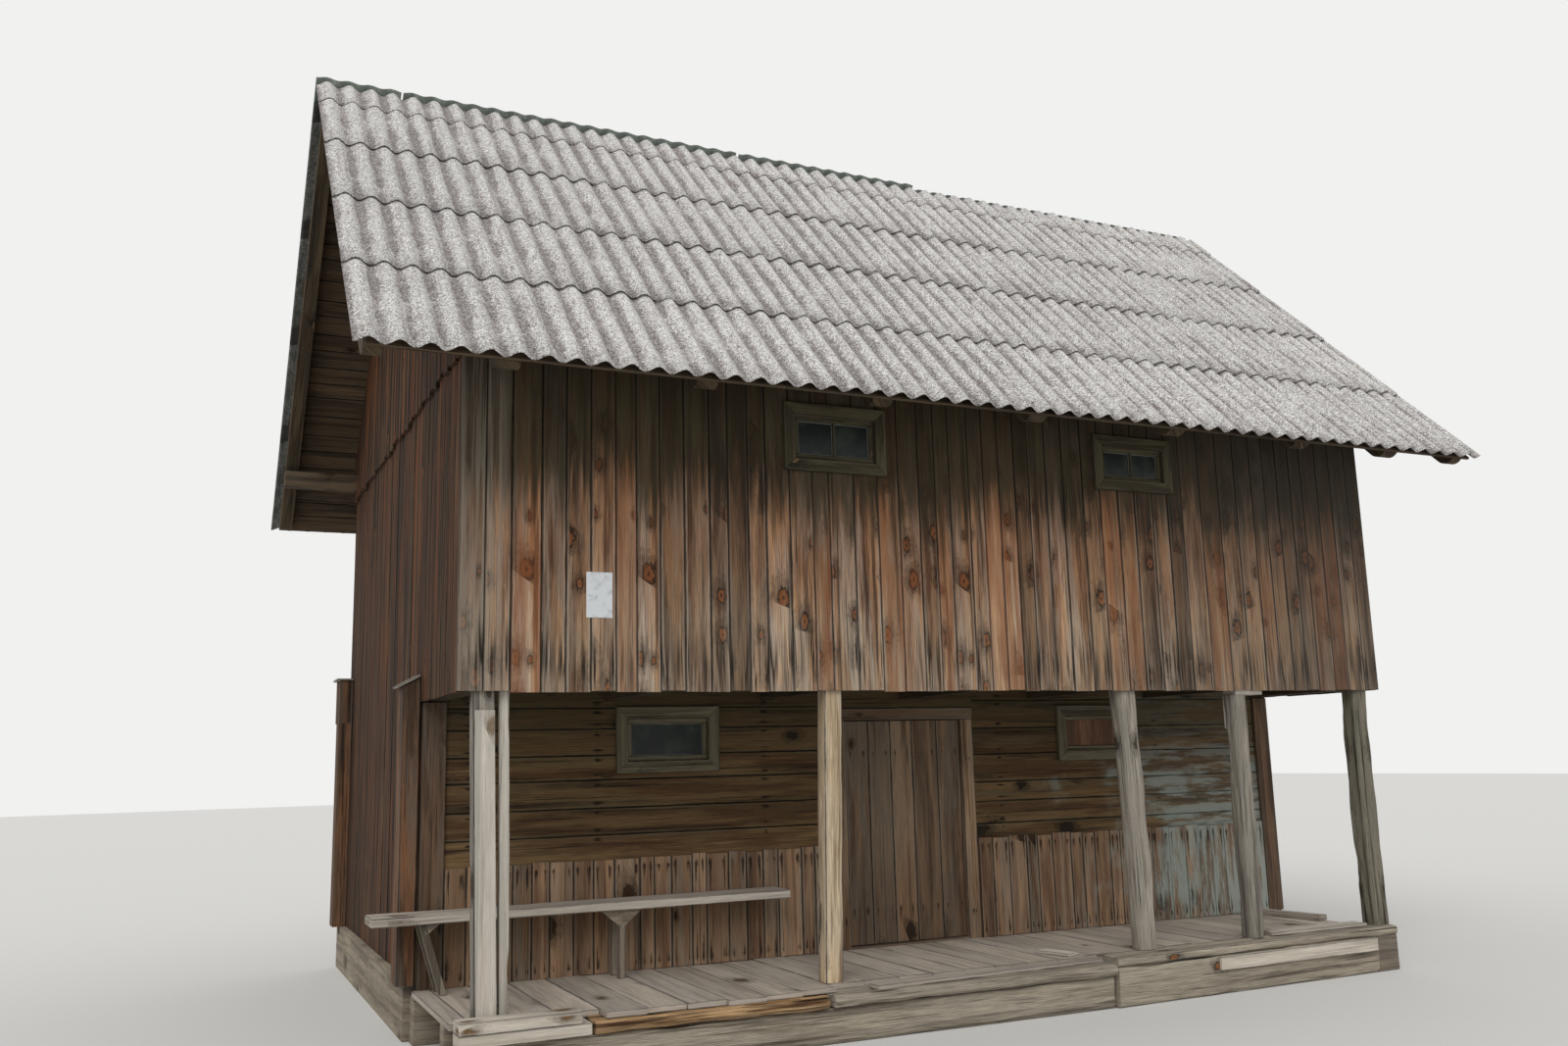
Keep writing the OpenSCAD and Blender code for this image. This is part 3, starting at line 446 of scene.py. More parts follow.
def wainscot_finish(colours):
    """Red-brown upright boards with iron flames at the top and foot nails."""
    made = timber("stained_wainscot", colours.wainscot_heart, "#93755a", "#2e2118", "#85796a",
                  bleach=0.45, knots=0.05, checks=0.8, spread=0.6, knot_core="#3a2819", contrast=0.55)
    lime_wash(made, 0.95)
    nail_flares(made, made.u, 0.05, 0.11, 0.03, 0.010, 0.030, "#1a1410")
    nail_flares(made, made.u, 0.74, 0.03, 0.14, 0.012, 0.030, "#1a1410")
    return end_finish(made, 0.9, 0.8)


def door_finish():
    """Dark worn pine of the door, redder towards the foot, with short flares at its ledges."""
    made = timber("worn_door_pine", "#6d5643", "#957a5f", "#34271c", "#83786a", bleach=0.5,
                  knots=0.05, spread=0.75, knot_core="#33261a", contrast=0.75)
    redder = put(made.tree, EASE, made.u, 1.3, 0.2, 0.0, 0.45)
    blend(made, redder, "#8b705a", "MULTIPLY")
    for row in (0.26, 1.50):
        nail_flares(made, made.u, row, 0.03, 0.06, 0.009, 0.045, "#17110c", 0.8)
    return end_finish(made, 0.88, 0.6)


def grey_post_finish(colours):
    """Hewn pine gone silver-grey, greener on the posts at the right."""
    made = timber("silver_grey_post", colours.post_heart, "#a69d91", "#3c352f", "#8f8a84",
                  bleach=0.6, knots=0.12, checks=1.0, spread=0.25, knot_core="#4f4035")
    greener = put(made.tree, EASE, made.x, RIGHT - 1.0, RIGHT - 0.2, 0.25, 0.75)
    blend(made, greener, "#b2b5a3", "MULTIPLY")
    return end_finish(made, 0.9, 0.9, 0.005)


def grey_board_finish(name, heart, pale, silver, bleach=0.6, knots=0.07, spread=0.3, grain=None,
                      dark="#4a423a", core="#6b5641", checks=0.8, contrast=0.8, seam=0.6):
    """Sawn pine that has lost its red to sun, smoke or moss, so its grain is faint."""
    made = timber(name, heart, pale, dark, silver, bleach=bleach, knots=knots, checks=checks,
                  spread=spread, grain=grain, knot_core=core, contrast=contrast, rings=0.2, seam=seam)
    return end_finish(made, 0.88, 0.7)


def sheet_finish(colours, name="weathered_fibre_cement", algae_and_shade=0.0):
    """Weathered fibre cement: matt, crests pale with white and grey lichen, valleys mauve-grey and
    darker, partly where water runs and partly painted shade, and a dark band where the next course
    lies on, partly dirt and partly its painted shadow. Lichen spots are about 10 and 25 mm across."""
    made = start_finish(name)
    lay_grain(made)
    tree = made.tree
    turn = put(tree, TIMES, made.v, 2 * math.pi)
    crest = put(tree, TIMES_PLUS, put(tree, "Math.COSINE", turn), -0.5, 0.5)
    patch = put(tree, "MapRange", spots(made, 2.6, 6.0, 0.65), 0.3, 0.7, -0.42, 0.42)
    crest = put(tree, PLUS, crest, patch)
    made.colour = paint(colours.valley)
    stain(made, crest, 0.05, 0.75, 1.0, colours.crest)
    blend(made, 1.0, put(tree, "MapRange", made.hash, 0.0, 1.0, 0.88, 1.08), "MULTIPLY")
    speck = spots(made, 110.0, 4.0, 0.75)
    lichen = spots(made, 42.0, 6.0, 0.8)
    bare = spots(made, 9.0, 5.0, 0.7)
    streaks = put(tree, "CombineXYZ", put(tree, TIMES, made.v, 5.0), put(tree, TIMES, made.u, 0.9),
                  made.board)
    run = put(tree, "TexNoise", Vector=streaks, Scale=1.0, Detail=4.0)
    # The last entry darkens the valleys: partly water runs, partly painted shade.
    for pattern, low, high, share, colour in (
            (run, 0.52, 0.68, 0.6, "#786b6b"), (bare, 0.50, 0.62, 0.5, "#8b7f7c"),
            (lichen, 0.51, 0.58, 0.85, "#dddbd6"), (lichen, 0.47, 0.40, 0.75, "#716a69"),
            (speck, 0.53, 0.58, 0.85, "#f4f3f0"), (speck, 0.45, 0.40, 0.85, "#403b3a"),
            (crest, 0.40, 0.0, 0.45, "#5c5453")):
        stain(made, pattern, low, high, share, colour)
    # Green-grey on the rear sheets: partly algae, partly painted shade.
    blend(made, put(tree, EASE, bare, 0.35, 0.6, 1.2 * algae_and_shade, 0.6 * algae_and_shade), "#48534b")
    # A dark band below the edge of the next course: partly dirt, partly the painted shadow of that edge.
    stain(made, made.u, COURSE_L - 0.035, COURSE_L - 0.004, 0.8, "#2e2a28")
    made.relief = put(tree, PLUS, lichen, speck)
    return end_finish(made, 0.95, 0.6, 0.004)


def spotted_finish(name, ground, pattern, stains, roughness, bump, depth, metallic=0.0):
    """A finish of one colour, with stains where a noise passes from one level to another."""
    made = start_finish(name)
    made.colour = paint(ground)
    made.relief = spots(made, *pattern)
    for low, high, share, colour in stains:
        stain(made, made.relief, low, high, share, colour)
    made.tree.nodes["Principled BSDF"].inputs["Metallic"].default_value = metallic
    return end_finish(made, roughness, bump, depth)


def ridge_finish():
    """The sheets' cement in the shade: green-grey, partly algal growth and partly painted shade."""
    return spotted_finish("algae_and_shade_grey_cement", "#6d736c", (30.0, 5.0, 0.7), (
        (0.5, 0.65, 0.6, "#949a92"), (0.45, 0.3, 0.7, "#434a45")), 0.95, 0.4, 0.003)


def iron_finish():
    """Forged iron with an old rust skin: dull, brown-black, pitted at a few millimetres."""
    return spotted_finish("rusted_wrought_iron", "#3a2c25", (180.0, 4.0),
                          ((0.5, 0.7, 0.8, "#6b3f27"),), 0.7, 0.4, 0.001, metallic=0.35)


def enamel_finish():
    """White enamel on a small plate: smooth, a little chalky, with rust at the worn spots."""
    return spotted_finish("chalky_white_enamel", "#c9cdd0", (24.0, 5.0),
                          ((0.5, 0.75, 0.4, "#7b6f62"),), 0.45, 0.05, 0.001)


def glass_finish():
    """Old window glass, dull with dust. Its green-black is painted shade of the dark room behind it."""
    return spotted_finish("dusty_window_glass", "#1b211f", (7.0, 6.0),
                          ((0.45, 0.7, 0.4, "#444d43"),), 0.3, 0.05, 0.001)


def new_piece():
    """An empty bmesh with the layers that the finishes read."""
    bm = bmesh.new()
    bm.loops.layers.uv.new("grain")
    bm.faces.layers.float.new("board")
    bm.faces.layers.float.new("half")
    return bm


def mark_board(bm, low, high, grain, number):
    """Writes the grain places and the board's number on all faces of one board."""
    uv = bm.loops.layers.uv["grain"]
    board, half = bm.faces.layers.float["board"], bm.faces.layers.float["half"]
    middle = (low + high) / 2
    bm.normal_update()
    for face in bm.faces:
        weights = [abs(c) for c in face.normal]
        flat = weights.index(max(weights))
        if flat == grain:
            along, across = [a for a in range(3) if a != grain]
        else:
            along, across = grain, 3 - grain - flat
        face[board] = number
        face[half] = (high[across] - low[across]) / 2
        for loop in face.loops:
            place = loop.vert.co
            loop[uv].uv = (place[along] - low[along], place[across] - middle[across])


def join(bm, one, place=None):
    """Adds a finished board to a piece."""
    if place is not None:
        bmesh.ops.transform(one, matrix=place, verts=one.verts)
    mesh = bpy.data.meshes.new("board")
    one.to_mesh(mesh)
    one.free()
    bm.from_mesh(mesh)
    bpy.data.meshes.remove(mesh)


def edges_along(bm, axis, longer):
    """The edges that run more than a length along an axis."""
    return [e for e in bm.edges if abs((e.verts[0].co - e.verts[1].co)[axis]) > longer]


def drift_at(place):
    """A smooth drift at a place, the same in each run: one noise for each axis."""
    return Vector([noise.noise(place + shift) for shift in DRIFTS])


def add_board(bm, low, high, grain, rng, wear=0.003, waver=0.0012, cuts=None, shape=None,
              mitres=(), place=None, whole=None):
    """A sawn board between two corners. grain is the axis of its fibres. Its long edges waver and
    are worn round; shape moves its corners first, mitres cut its ends and place sets the finished
    board in the house. whole gives the corners and the number of a larger board whose grain this
    one continues."""
    low, high = Vector(low), Vector(high)
    size = high - low
    first, last, number = whole or (low, high, rng.uniform(0.05, 0.95))
    one = new_piece()
    bmesh.ops.create_cube(one, size=1.0, matrix=Matrix.Translation((low + high) / 2)
                          @ Matrix.Diagonal((*size, 1.0)))
    cuts = int(size[grain] / 0.3) if cuts is None else cuts
    if cuts:
        bmesh.ops.subdivide_edges(one, edges=edges_along(one, grain, 0.5 * size[grain]), cuts=cuts,
                                  use_grid_fill=True)
        shift = Vector((number * 91, number * 37, number * 53))
        for vert in one.verts:
            drift = drift_at(vert.co * 2.5 + shift) * waver
            drift[grain] = 0.0
            vert.co += drift
    if shape:
        for vert in one.verts:
            shape(vert)
    for point, normal in mitres:
        cut = bmesh.ops.bisect_plane(one, geom=[*one.verts, *one.edges, *one.faces], plane_co=point,
                                     plane_no=normal, clear_outer=True)
        rim = [g for g in cut["geom_cut"] if isinstance(g, bmesh.types.BMEdge)]
        bmesh.ops.edgeloop_fill(one, edges=rim)
    if wear:
        sharp = [e for e in edges_along(one, grain, 0.02) if e.calc_face_angle(0.0) > 0.7]
        bmesh.ops.bevel(one, geom=sharp, offset=wear, offset_type="OFFSET", segments=1,
                        profile=0.5, affect="EDGES", material=-1)
    mark_board(one, Vector(first), Vector(last), grain, number)
    join(bm, one, place)


def add_board_round(bm, low, high, grain, across, rng, windows, **settings):
    """A board that windows cut. Its parts keep one grain. across is the axis of its width, and a
    window is given by its range along the grain and its range across it."""
    whole = (Vector(low), Vector(high), rng.uniform(0.05, 0.95))
    parts = [(low[grain], high[grain], low[across], high[across])]
    for g0, g1, a0, a1 in windows:
        found = []
        for p0, p1, b0, b1 in parts:
            if p0 >= g1 or p1 <= g0 or b0 >= a1 or b1 <= a0:
                found.append((p0, p1, b0, b1))
                continue
            found += [(p0, g0, b0, b1), (g1, p1, b0, b1), (g0, g1, b0, a0), (g0, g1, a1, b1)]
        parts = [p for p in found if p[1] - p[0] > 0.004 and p[3] - p[2] > 0.004]
    for p0, p1, b0, b1 in parts:
        a, b = Vector(low), Vector(high)
        a[grain], b[grain], a[across], b[across] = p0, p1, b0, b1
        add_board(bm, a, b, grain, rng, whole=whole, **settings)


def finish_piece(bm, name, material, replaces=(), body="granary", smooth=None):
    """Turns a bmesh into a piece that rides on its body and may stand for CAD nodes."""
    mesh = bpy.data.meshes.new(name)
    bm.to_mesh(mesh)
    bm.free()
    mesh.materials.append(material)
    if smooth is not None:
        mesh.shade_smooth()
        mesh.set_sharp_from_angle(angle=math.radians(smooth))
    piece = bpy.data.objects.new(name, mesh)
    bpy.context.scene.collection.objects.link(piece)
    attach(piece, body)
    if replaces:
        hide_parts(*replaces)
    return piece


def dress(material, *nodes):
    """Gives CAD nodes their finish."""
    for node in nodes:
        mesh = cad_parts[node].data
        mesh.materials.clear()
        mesh.materials.append(material)


def splits(start, end, mean, rng, jitter=0.22):
    """Board edges from start to end with widths that vary round a mean."""
    count = max(1, round((end - start) / mean))
    widths = [1.0 + rng.uniform(-jitter, jitter) for _ in range(count)]
    scale = (end - start) / sum(widths)
    places = [start]
    for width in widths:
        places.append(places[-1] + width * scale)
    return list(zip(places[:-1], places[1:]))


class PieceOperator:
    """Shared settings of the operators that make pieces."""
    bl_options = {"REGISTER", "UNDO"}

    def execute(self, context):
        self.make(context.scene.granary_sizes, context.scene.granary_colours)
        return {"FINISHED"}


class GRANARY_OT_upper_boards(PieceOperator, bpy.types.Operator):
    """Upright boards of the upper front and the rear wall, and a bare plate"""
    bl_idname = "granary.upper_boards"
    bl_label = "Front and rear boards"

    def make(self, sizes, colours):
        rng = random.Random(11)
        proud, ragged_front, ragged_rear = 0.003, 0.012, 0.010
        half_gap = sizes.board_gap / 2
        windows = [(z0, z1, x0, x1) for x0, x1, z0, z1 in window_openings("upper_window_frames")]
        bm = new_piece()
        for x0, x1 in splits(LEFT, RIGHT, sizes.board_w, rng):
            foot = JETTY + rng.uniform(0.0, ragged_front)
            face = FRONT + rng.uniform(0.0, proud)
            gap = sizes.board_gap * rng.uniform(0.3, 0.8)
            add_board_round(bm, (x0 + gap, face, foot), (x1 - gap, FRONT + BOARD, FRONT_BOARDS[1].z),
                            2, 0, rng, windows)
        finish_piece(bm, "front_boards", front_board_finish(colours),
                     ("front_boarding",))
        low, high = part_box("rear_boarding")
        bm = new_piece()
        for x0, x1 in splits(LEFT, RIGHT, sizes.board_w, rng):
            face = REAR - rng.uniform(0.0, proud)
            add_board(bm, (x0 + half_gap, REAR - BOARD, low.z + rng.uniform(0.0, ragged_rear)),
                      (x1 - half_gap, face, high.z), 2, rng)
        finish_piece(bm, "rear_boards", gable_board_finish(colours),
                     ("rear_boarding",))
        self.plate(rng)

    def plate(self, rng):
        """A small bare plate, nailed to the upper front."""
        spot, size = Vector((LEFT + 0.825, FRONT - 0.003, JETTY + 0.483)), Vector((0.177, 0.0027, 0.300))
        bm = new_piece()
        add_board(bm, spot, spot + size, 2, rng, wear=0.0005, waver=0.0)
        finish_piece(bm, "bare_plate", enamel_finish())


def corners_of(node):
    """The places of a CAD node's vertices."""
    return [vert.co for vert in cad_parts[node].data.vertices]


def spans_of(node):
    """The x ranges of a node's solids, which stand more than a metre apart."""
    places = sorted({round(corner.x, 4) for corner in corners_of(node)})
    spans, begin = [], places[0]
    for a, b in zip(places, places[1:] + [math.inf]):
        if b - a > 1.0:
            spans.append((begin, a))
            begin = b
    return spans


def window_openings(node):
    """The openings inside the casings of a node of window frames, as x and z ranges."""
    found = []
    for x0, x1 in spans_of(node):
        heights = [corner.z for corner in corners_of(node) if x0 - 0.01 < corner.x < x1 + 0.01]
        found.append((x0 + CASING_W, x1 - CASING_W, min(heights) + CASING_W, max(heights) - CASING_W))
    return found


def side_boards(bm, sizes, rng, outer, inner):
    """Upright boards of one side: over the porch they start at the jetty."""
    foot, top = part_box("left_boarding")[0].z, PLATE - 0.150
    proud, ragged, half_gap = 0.004, 0.010, sizes.board_gap / 2
    turn = 1 if outer < inner else -1
    rows = (splits(FRONT + BOARD, PORCH, sizes.board_w, rng)
            + splits(PORCH, REAR - BOARD, sizes.board_w, rng))
    for y0, y1 in rows:
        z0 = (JETTY if y1 <= PORCH + 0.001 else foot) + rng.uniform(0.0, ragged)
        face = outer + turn * rng.uniform(0.0, proud)
        add_board(bm, (min(face, inner), y0 + half_gap, z0), (max(face, inner), y1 - half_gap, top),
                  2, rng)


def gable_boards(bm, sizes, rng, outer, inner):
    """Upright boards of one gable, cut along the roof and ragged at the seam."""
    ragged, narrow, wide, under = 0.055, 0.003, 0.011, 0.001
    board_w = 0.8 * sizes.board_w
    for y0, y1 in splits(FRONT, 0.0, board_w, rng) + splits(0.0, REAR, board_w, rng):
        foot = SEAM + rng.uniform(0.0, ragged)
        gap = rng.uniform(narrow, wide)

        def cut_to_roof(vert):
            if vert.co.z > foot + 0.01:
                vert.co.z = under_roof(vert.co.y) - under

        add_board(bm, (min(outer, inner), y0 + gap, foot), (max(outer, inner), y1 - gap, foot + 1.0),
                  2, rng, cuts=8, shape=cut_to_roof)


class GRANARY_OT_side_boards(PieceOperator, bpy.types.Operator):
    """Boards of both sides and gables"""
    bl_idname = "granary.side_boards"
    bl_label = "Side and gable boards"

    def make(self, sizes, colours):
        finish = gable_board_finish(colours)
        rng = random.Random(23)
        for side, wall, turn in (("left", LEFT, 1), ("right", RIGHT, -1)):
            bm = new_piece()
            side_boards(bm, sizes, rng, wall, wall + turn * BOARD)
            finish_piece(bm, side + "_side_boards", finish, (side + "_boarding",))
            bm = new_piece()
            gable_boards(bm, sizes, rng, wall - turn * BOARD, wall)
            finish_piece(bm, side + "_gable_boards", finish, (side + "_gable",))


class GRANARY_OT_porch_wall(PieceOperator, bpy.types.Operator):
    """Planks, wainscot and corner boards behind the porch"""
    bl_idname = "granary.porch_wall"
    bl_label = "Porch wall"

    def make(self, sizes, colours):
        rng = random.Random(37)
        finish = porch_plank_finish(colours)
        joint, room, proud = 0.0015, 0.0005, 0.004
        gaps = window_openings("porch_window_frames")
        gaps += [(x0 - room, x1 + room, HEAD - room, HEAD + 1.0) for x0, x1 in spans_of("floor_joists")]
        for node in ("porch_wall_left", "porch_wall_right", "porch_wall_over_door"):
            low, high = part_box(node)
            bm = new_piece()
            for z0, z1 in splits(low.z, high.z, sizes.plank_h, rng, 0.25):
                face = low.y + rng.uniform(0.0, proud)
                add_board_round(bm, (low.x, face, z0 + joint), (high.x, high.y, z1 - joint), 0, 2, rng,
                                gaps, wear=0.004, waver=0.003)
            finish_piece(bm, node + "_planks", finish, (node,))
        bm = new_piece()
        low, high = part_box("wainscot")
        board_w, door_room, proud, ragged = 0.155, 0.002, 0.003, 0.018
        for start, end in ((low.x, DOOR_LOW.x - door_room), (DOOR_HIGH.x + door_room, high.x)):
            for x0, x1 in splits(start, end, board_w, rng, 0.3):
                face = low.y + rng.uniform(0, proud)
                add_board(bm, (x0 + joint, face, low.z),
                          (x1 - joint, high.y, high.z - rng.uniform(0.0, ragged)), 2, rng, wear=0.002)
        finish_piece(bm, "wainscot_boards", wainscot_finish(colours), ("wainscot",))
        bm = new_piece()
        low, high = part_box("corner_boards")
        board_w = 0.170
        for x0 in (low.x, high.x - board_w):
            add_board(bm, (x0, low.y, low.z), (x0 + board_w, high.y, high.z), 2, rng)
        finish_piece(bm, "corner_board_pair", grey_board_finish(
            "brown_corner_pine", "#4d3c2f", "#6d5542", "#62564a", 0.4, dark="#1f1711",
            core="#2a1e15"), ("corner_boards",))
        self.boxes(rng)

    def boxes(self, rng):
        """Boxed log ends at the left corners: the front one under a sloping cap, the rear one with a
        wider head under a flat cap."""
        low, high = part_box("corner_boxes")
        cap_over, cap_t, pitch = 0.030, 0.018, math.radians(28)
        box_w, side_over, joint = 0.230, 0.015, 0.002
        front_y, rear_y = PORCH - BOARD, REAR - box_w
        face, eaves = low.x + cap_over, JETTY + 0.120
        head_low, head_high = JETTY - 0.020, JETTY + 0.390
        rear_end = REAR + 0.090

        def slope(vert):
            if vert.co.z > JETTY:
                vert.co.z = eaves + (vert.co.x - face) * math.tan(pitch)

        bm = new_piece()
        for y0, split, y1, z0, z1, settings in (
                (front_y, front_y + 0.105, front_y + box_w, low.z, eaves, {"shape": slope, "cuts": 3}),
                (rear_y, rear_y + 0.120, REAR, low.z, head_low, {}),
                (rear_y, rear_y + 0.155, rear_end, head_low, head_high, {})):
            for a, b in ((y0, split), (split + joint, y1)):
                add_board(bm, (face, a, z0), (LEFT, b, z1), 2, rng, **settings)
        finish_piece(bm, "corner_box_boards", grey_board_finish(
            "boxed_corner_pine", "#453528", "#6f4e36", "#5c5147", 0.4, spread=0.6, dark="#1d1510",
            contrast=1.1), ("corner_boxes",))
        bm = new_piece()
        run = (LEFT - low.x - 0.001) / math.cos(pitch)
        tilt = laid((low.x, front_y - side_over, eaves + 2 * SEAT - cap_over * math.tan(pitch)),
                    -pitch, "Y")
        add_board(bm, (0, 0, 0), (run, box_w + 0.025, cap_t), 0, rng, wear=0.002, place=tilt)
        add_board(bm, (low.x, rear_y - side_over, head_high + SEAT),
                  (LEFT - 0.001, high.y, head_high + SEAT + cap_t), 0, rng, wear=0.002)
        finish_piece(bm, "corner_box_caps", grey_board_finish(
            "pale_cap_board", "#958b7d", "#b4ab9d", "#9d968b", 0.6))


class GRANARY_OT_door(PieceOperator, bpy.types.Operator):
    """The board door, its frame and its ironwork"""
    bl_idname = "granary.door"
    bl_label = "Door"

    def make(self, sizes, colours):
        rng = random.Random(41)
        finish = door_finish()
        low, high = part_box("door_leaf")
        board_w, joint, proud = 0.210, 0.001, 0.002
        ledge_t, ledge_h, ledge_in, ledge_end = 0.026, 0.150, 0.060, 0.180
        bm = new_piece()
        for x0, x1 in splits(low.x, high.x, board_w, rng, 0.1):
            add_board(bm, (x0 + joint, low.y + rng.uniform(0, proud), low.z),
                      (x1 - joint, high.y - ledge_t, high.z), 2, rng, wear=0.002)
        for z in (low.z + ledge_end, high.z - ledge_end - ledge_h):
            add_board(bm, (low.x + ledge_in, high.y - ledge_t, z),
                      (high.x - ledge_in, high.y, z + ledge_h), 0, rng, wear=0.006)
        finish_piece(bm, "door_boards", finish, ("door_leaf",), body="door")
        low, high = DOOR_LOW, DOOR_HIGH
        jamb, lintel, threshold = 0.120, high.z - 0.100, DECK + 0.018
        bm = new_piece()
        for x0, z0, x1, z1, grain in (
                (low.x, low.z, low.x + jamb, lintel, 2), (high.x - jamb, low.z, high.x, lintel, 2),
                (low.x, lintel, high.x, high.z, 0), (low.x + jamb, low.z, high.x - jamb, threshold, 0)):
            add_board(bm, (x0, low.y, z0), (x1, high.y, z1), grain, rng, wear=0.004)
        finish_piece(bm, "door_frame_timbers", finish, ("door_frame",))
        dress(iron_finish(), "door_straps", "hinge_pins")


class GRANARY_OT_windows(PieceOperator, bpy.types.Operator):
    """Mitred casings, sashes and glazing bars"""
    bl_idname = "granary.windows"
    bl_label = "Windows"

    def make(self, sizes, colours):
        rng = random.Random(53)
        mossy = grey_board_finish("mossy_casing_pine", "#3a3426", "#5a533d", "#514c3b", 0.4,
                                  dark="#1b1811")
        putty = grey_board_finish("old_window_putty", "#8b8f86", "#a9aca3", "#9a9d95", 0.5,
                                  dark="#4c4f48")
        worn = grey_board_finish("worn_casing_pine", "#5a523f", "#7d745f", "#736c5b", 0.5,
                                 dark="#2b261c", contrast=0.7)
        putty_w, putty_t = 0.007, 0.006
        sash_w, sash_in, sash_t = 0.038, 0.012, 0.034
        half_bar, bar_t = sash_w / 4, sash_t / 3
        for node, wall, bars in (("upper_window_frames", FRONT, True),
                                 ("porch_window_frames", PORCH, False)):
            front = wall + sash_in
            glazed = front + sash_t / 2
            sashes, lines = new_piece(), new_piece()
            for x0, x1, z0, z1 in window_openings(node):
                add_casing(sashes, x0, x1, z0, z1, wall, rng)
                add_strips(sashes, x0, x1, z0, z1, front, front + sash_t, sash_w, sash_w, rng, wear=0.003)
                middle = (x0 + x1) / 2
                if bars:
                    add_board(sashes, (middle - half_bar, front, z0 + sash_w),
                              (middle + half_bar, front + bar_t, z1 - sash_w), 2, rng, wear=0.002)
            finish_piece(sashes, node.replace("frames", "casings"), mossy if bars else worn,
                         (node,))
            for x0, x1, z0, z1 in window_openings(node):
                if not bars and x0 > DOOR_HIGH.x:
                    continue
                middle = (x0 + x1) / 2
                edges = [x0 + sash_w, middle - half_bar, middle + half_bar, x1 - sash_w]
                for a, b in (edges[:2], edges[2:]) if bars else (edges[::3],):
                    add_strips(lines, a, b, z0 + sash_w, z1 - sash_w, glazed - putty_t, glazed, putty_w,
                               0.0, rng, wear=0, waver=0)
            finish_piece(lines, node.replace("frames", "putty"), putty)
        dress(glass_finish(), "window_panes")
        dress(grey_board_finish("window_panel_pine", "#5e4333", "#7c5b46", "#6b5c50", 0.3,
                                grain=((0, 0, 1), (1, 0, 0))), "window_panel")


def add_strips(bm, x0, x1, z0, z1, y0, y1, width, tuck, rng, **settings):
    """Four strips round the inside of an opening. The upright ones are shorter by a tuck at each
    end."""
    for z in (z0, z1 - width):
        add_board(bm, (x0, y0, z), (x1, y1, z + width), 0, rng, **settings)
    for x in (x0, x1 - width):
        add_board(bm, (x, y0, z0 + tuck), (x + width, y1, z1 - tuck), 2, rng, **settings)


def add_casing(bm, x0, x1, z0, z1, wall, rng):
    """Four casing boards round an opening, mitred at the corners."""
    back, front = wall, wall - 0.022
    corners = {(a, b): Vector((x0 if a < 0 else x1, wall, z0 if b < 0 else z1))
               for a in (-1, 1) for b in (-1, 1)}
    for b, z in ((-1, z0), (1, z1)):
        ends = [(corners[(a, b)], Vector((a, 0, -b))) for a in (-1, 1)]
        add_board(bm, (x0 - CASING_W, front, min(z, z + b * CASING_W)),
                  (x1 + CASING_W, back, max(z, z + b * CASING_W)), 0, rng, wear=0.0025, mitres=ends)
    for a, x in ((-1, x0), (1, x1)):
        ends = [(corners[(a, b)], Vector((-a, 0, b))) for b in (-1, 1)]
        add_board(bm, (min(x, x + a * CASING_W), front, z0 - CASING_W),
                  (max(x, x + a * CASING_W), back, z1 + CASING_W), 2, rng, wear=0.0025, mitres=ends)


def rings_of(node):
    """Foot and head of a leaning CAD post: the middles and sizes of its two end faces."""
    corners = corners_of(node)
    ends = []
    for pick in (min, max):
        level = pick(corner.z for corner in corners)
        ring = [corner for corner in corners if abs(corner.z - level) < 0.002]
        low, high = (Vector([reach(corner[i] for corner in ring) for i in range(3)])
                     for reach in (min, max))
        ends.append(((low + high) / 2, high - low))
    return ends


def axe_marks(spot, grain, repeats, stretch, shift):
    """Noise with so many repeats a metre across the grain, drawn out along it."""
    place = spot * repeats
    place[grain] *= stretch
    return noise.noise(place + shift)


def add_hewn(bm, low, high, grain, rng, round_off, rough, bend=None, gouge=1.0, place=None):
    """A timber hewn with an axe: broken corners, flat strokes, a wavering line and long cracks."""
    low, high = Vector(low), Vector(high)
    size, middle = high - low, (low + high) / 2
    long, step, least = 0.5 * size[grain], 0.030, 0.030
    number = rng.uniform(0.05, 0.95)
    one = new_piece()
    bmesh.ops.create_cube(one, size=1.0, matrix=Matrix.Translation(middle)
                          @ Matrix.Diagonal((*size, 1.0)))
    broken = min(size[a] for a in range(3) if a != grain) / 2 * round_off
    bmesh.ops.bevel(one, geom=edges_along(one, grain, long), offset=broken, offset_type="OFFSET",
                    segments=3, profile=0.5, affect="EDGES", material=-1)
    lengthwise = set(edges_along(one, grain, long))
    wide = [e for e in one.edges if e not in lengthwise and e.calc_length() > least]
    bmesh.ops.subdivide_edges(one, edges=wide, cuts=5, use_grid_fill=True)
    bmesh.ops.subdivide_edges(one, edges=edges_along(one, grain, long), cuts=int(size[grain] / step),
                              use_grid_fill=True)
    mark_board(one, low, high, grain, number)
    shift = Vector((number * 71, number * 29, number * 47))
    for vert in one.verts:
        t = (vert.co[grain] - low[grain]) / size[grain]
        way = vert.co - middle
        way[grain] = 0.0
        deepest = 0.3 * way.length
        way.normalize()
        stroke = axe_marks(vert.co, grain, 6.6, 0.45, shift) * 1.6 * rough
        crack = max(0.0, axe_marks(vert.co, grain, 38.0, 0.05, shift * 2) - 0.32) * 0.06 * gouge
        fibre = axe_marks(vert.co, grain, 90.0, 0.08, shift) * 0.35 * rough
        vert.co += way * (stroke - min(crack, deepest) + fibre)
        if bend is not None:
            vert.co += bend(t)
    join(bm, one, place)


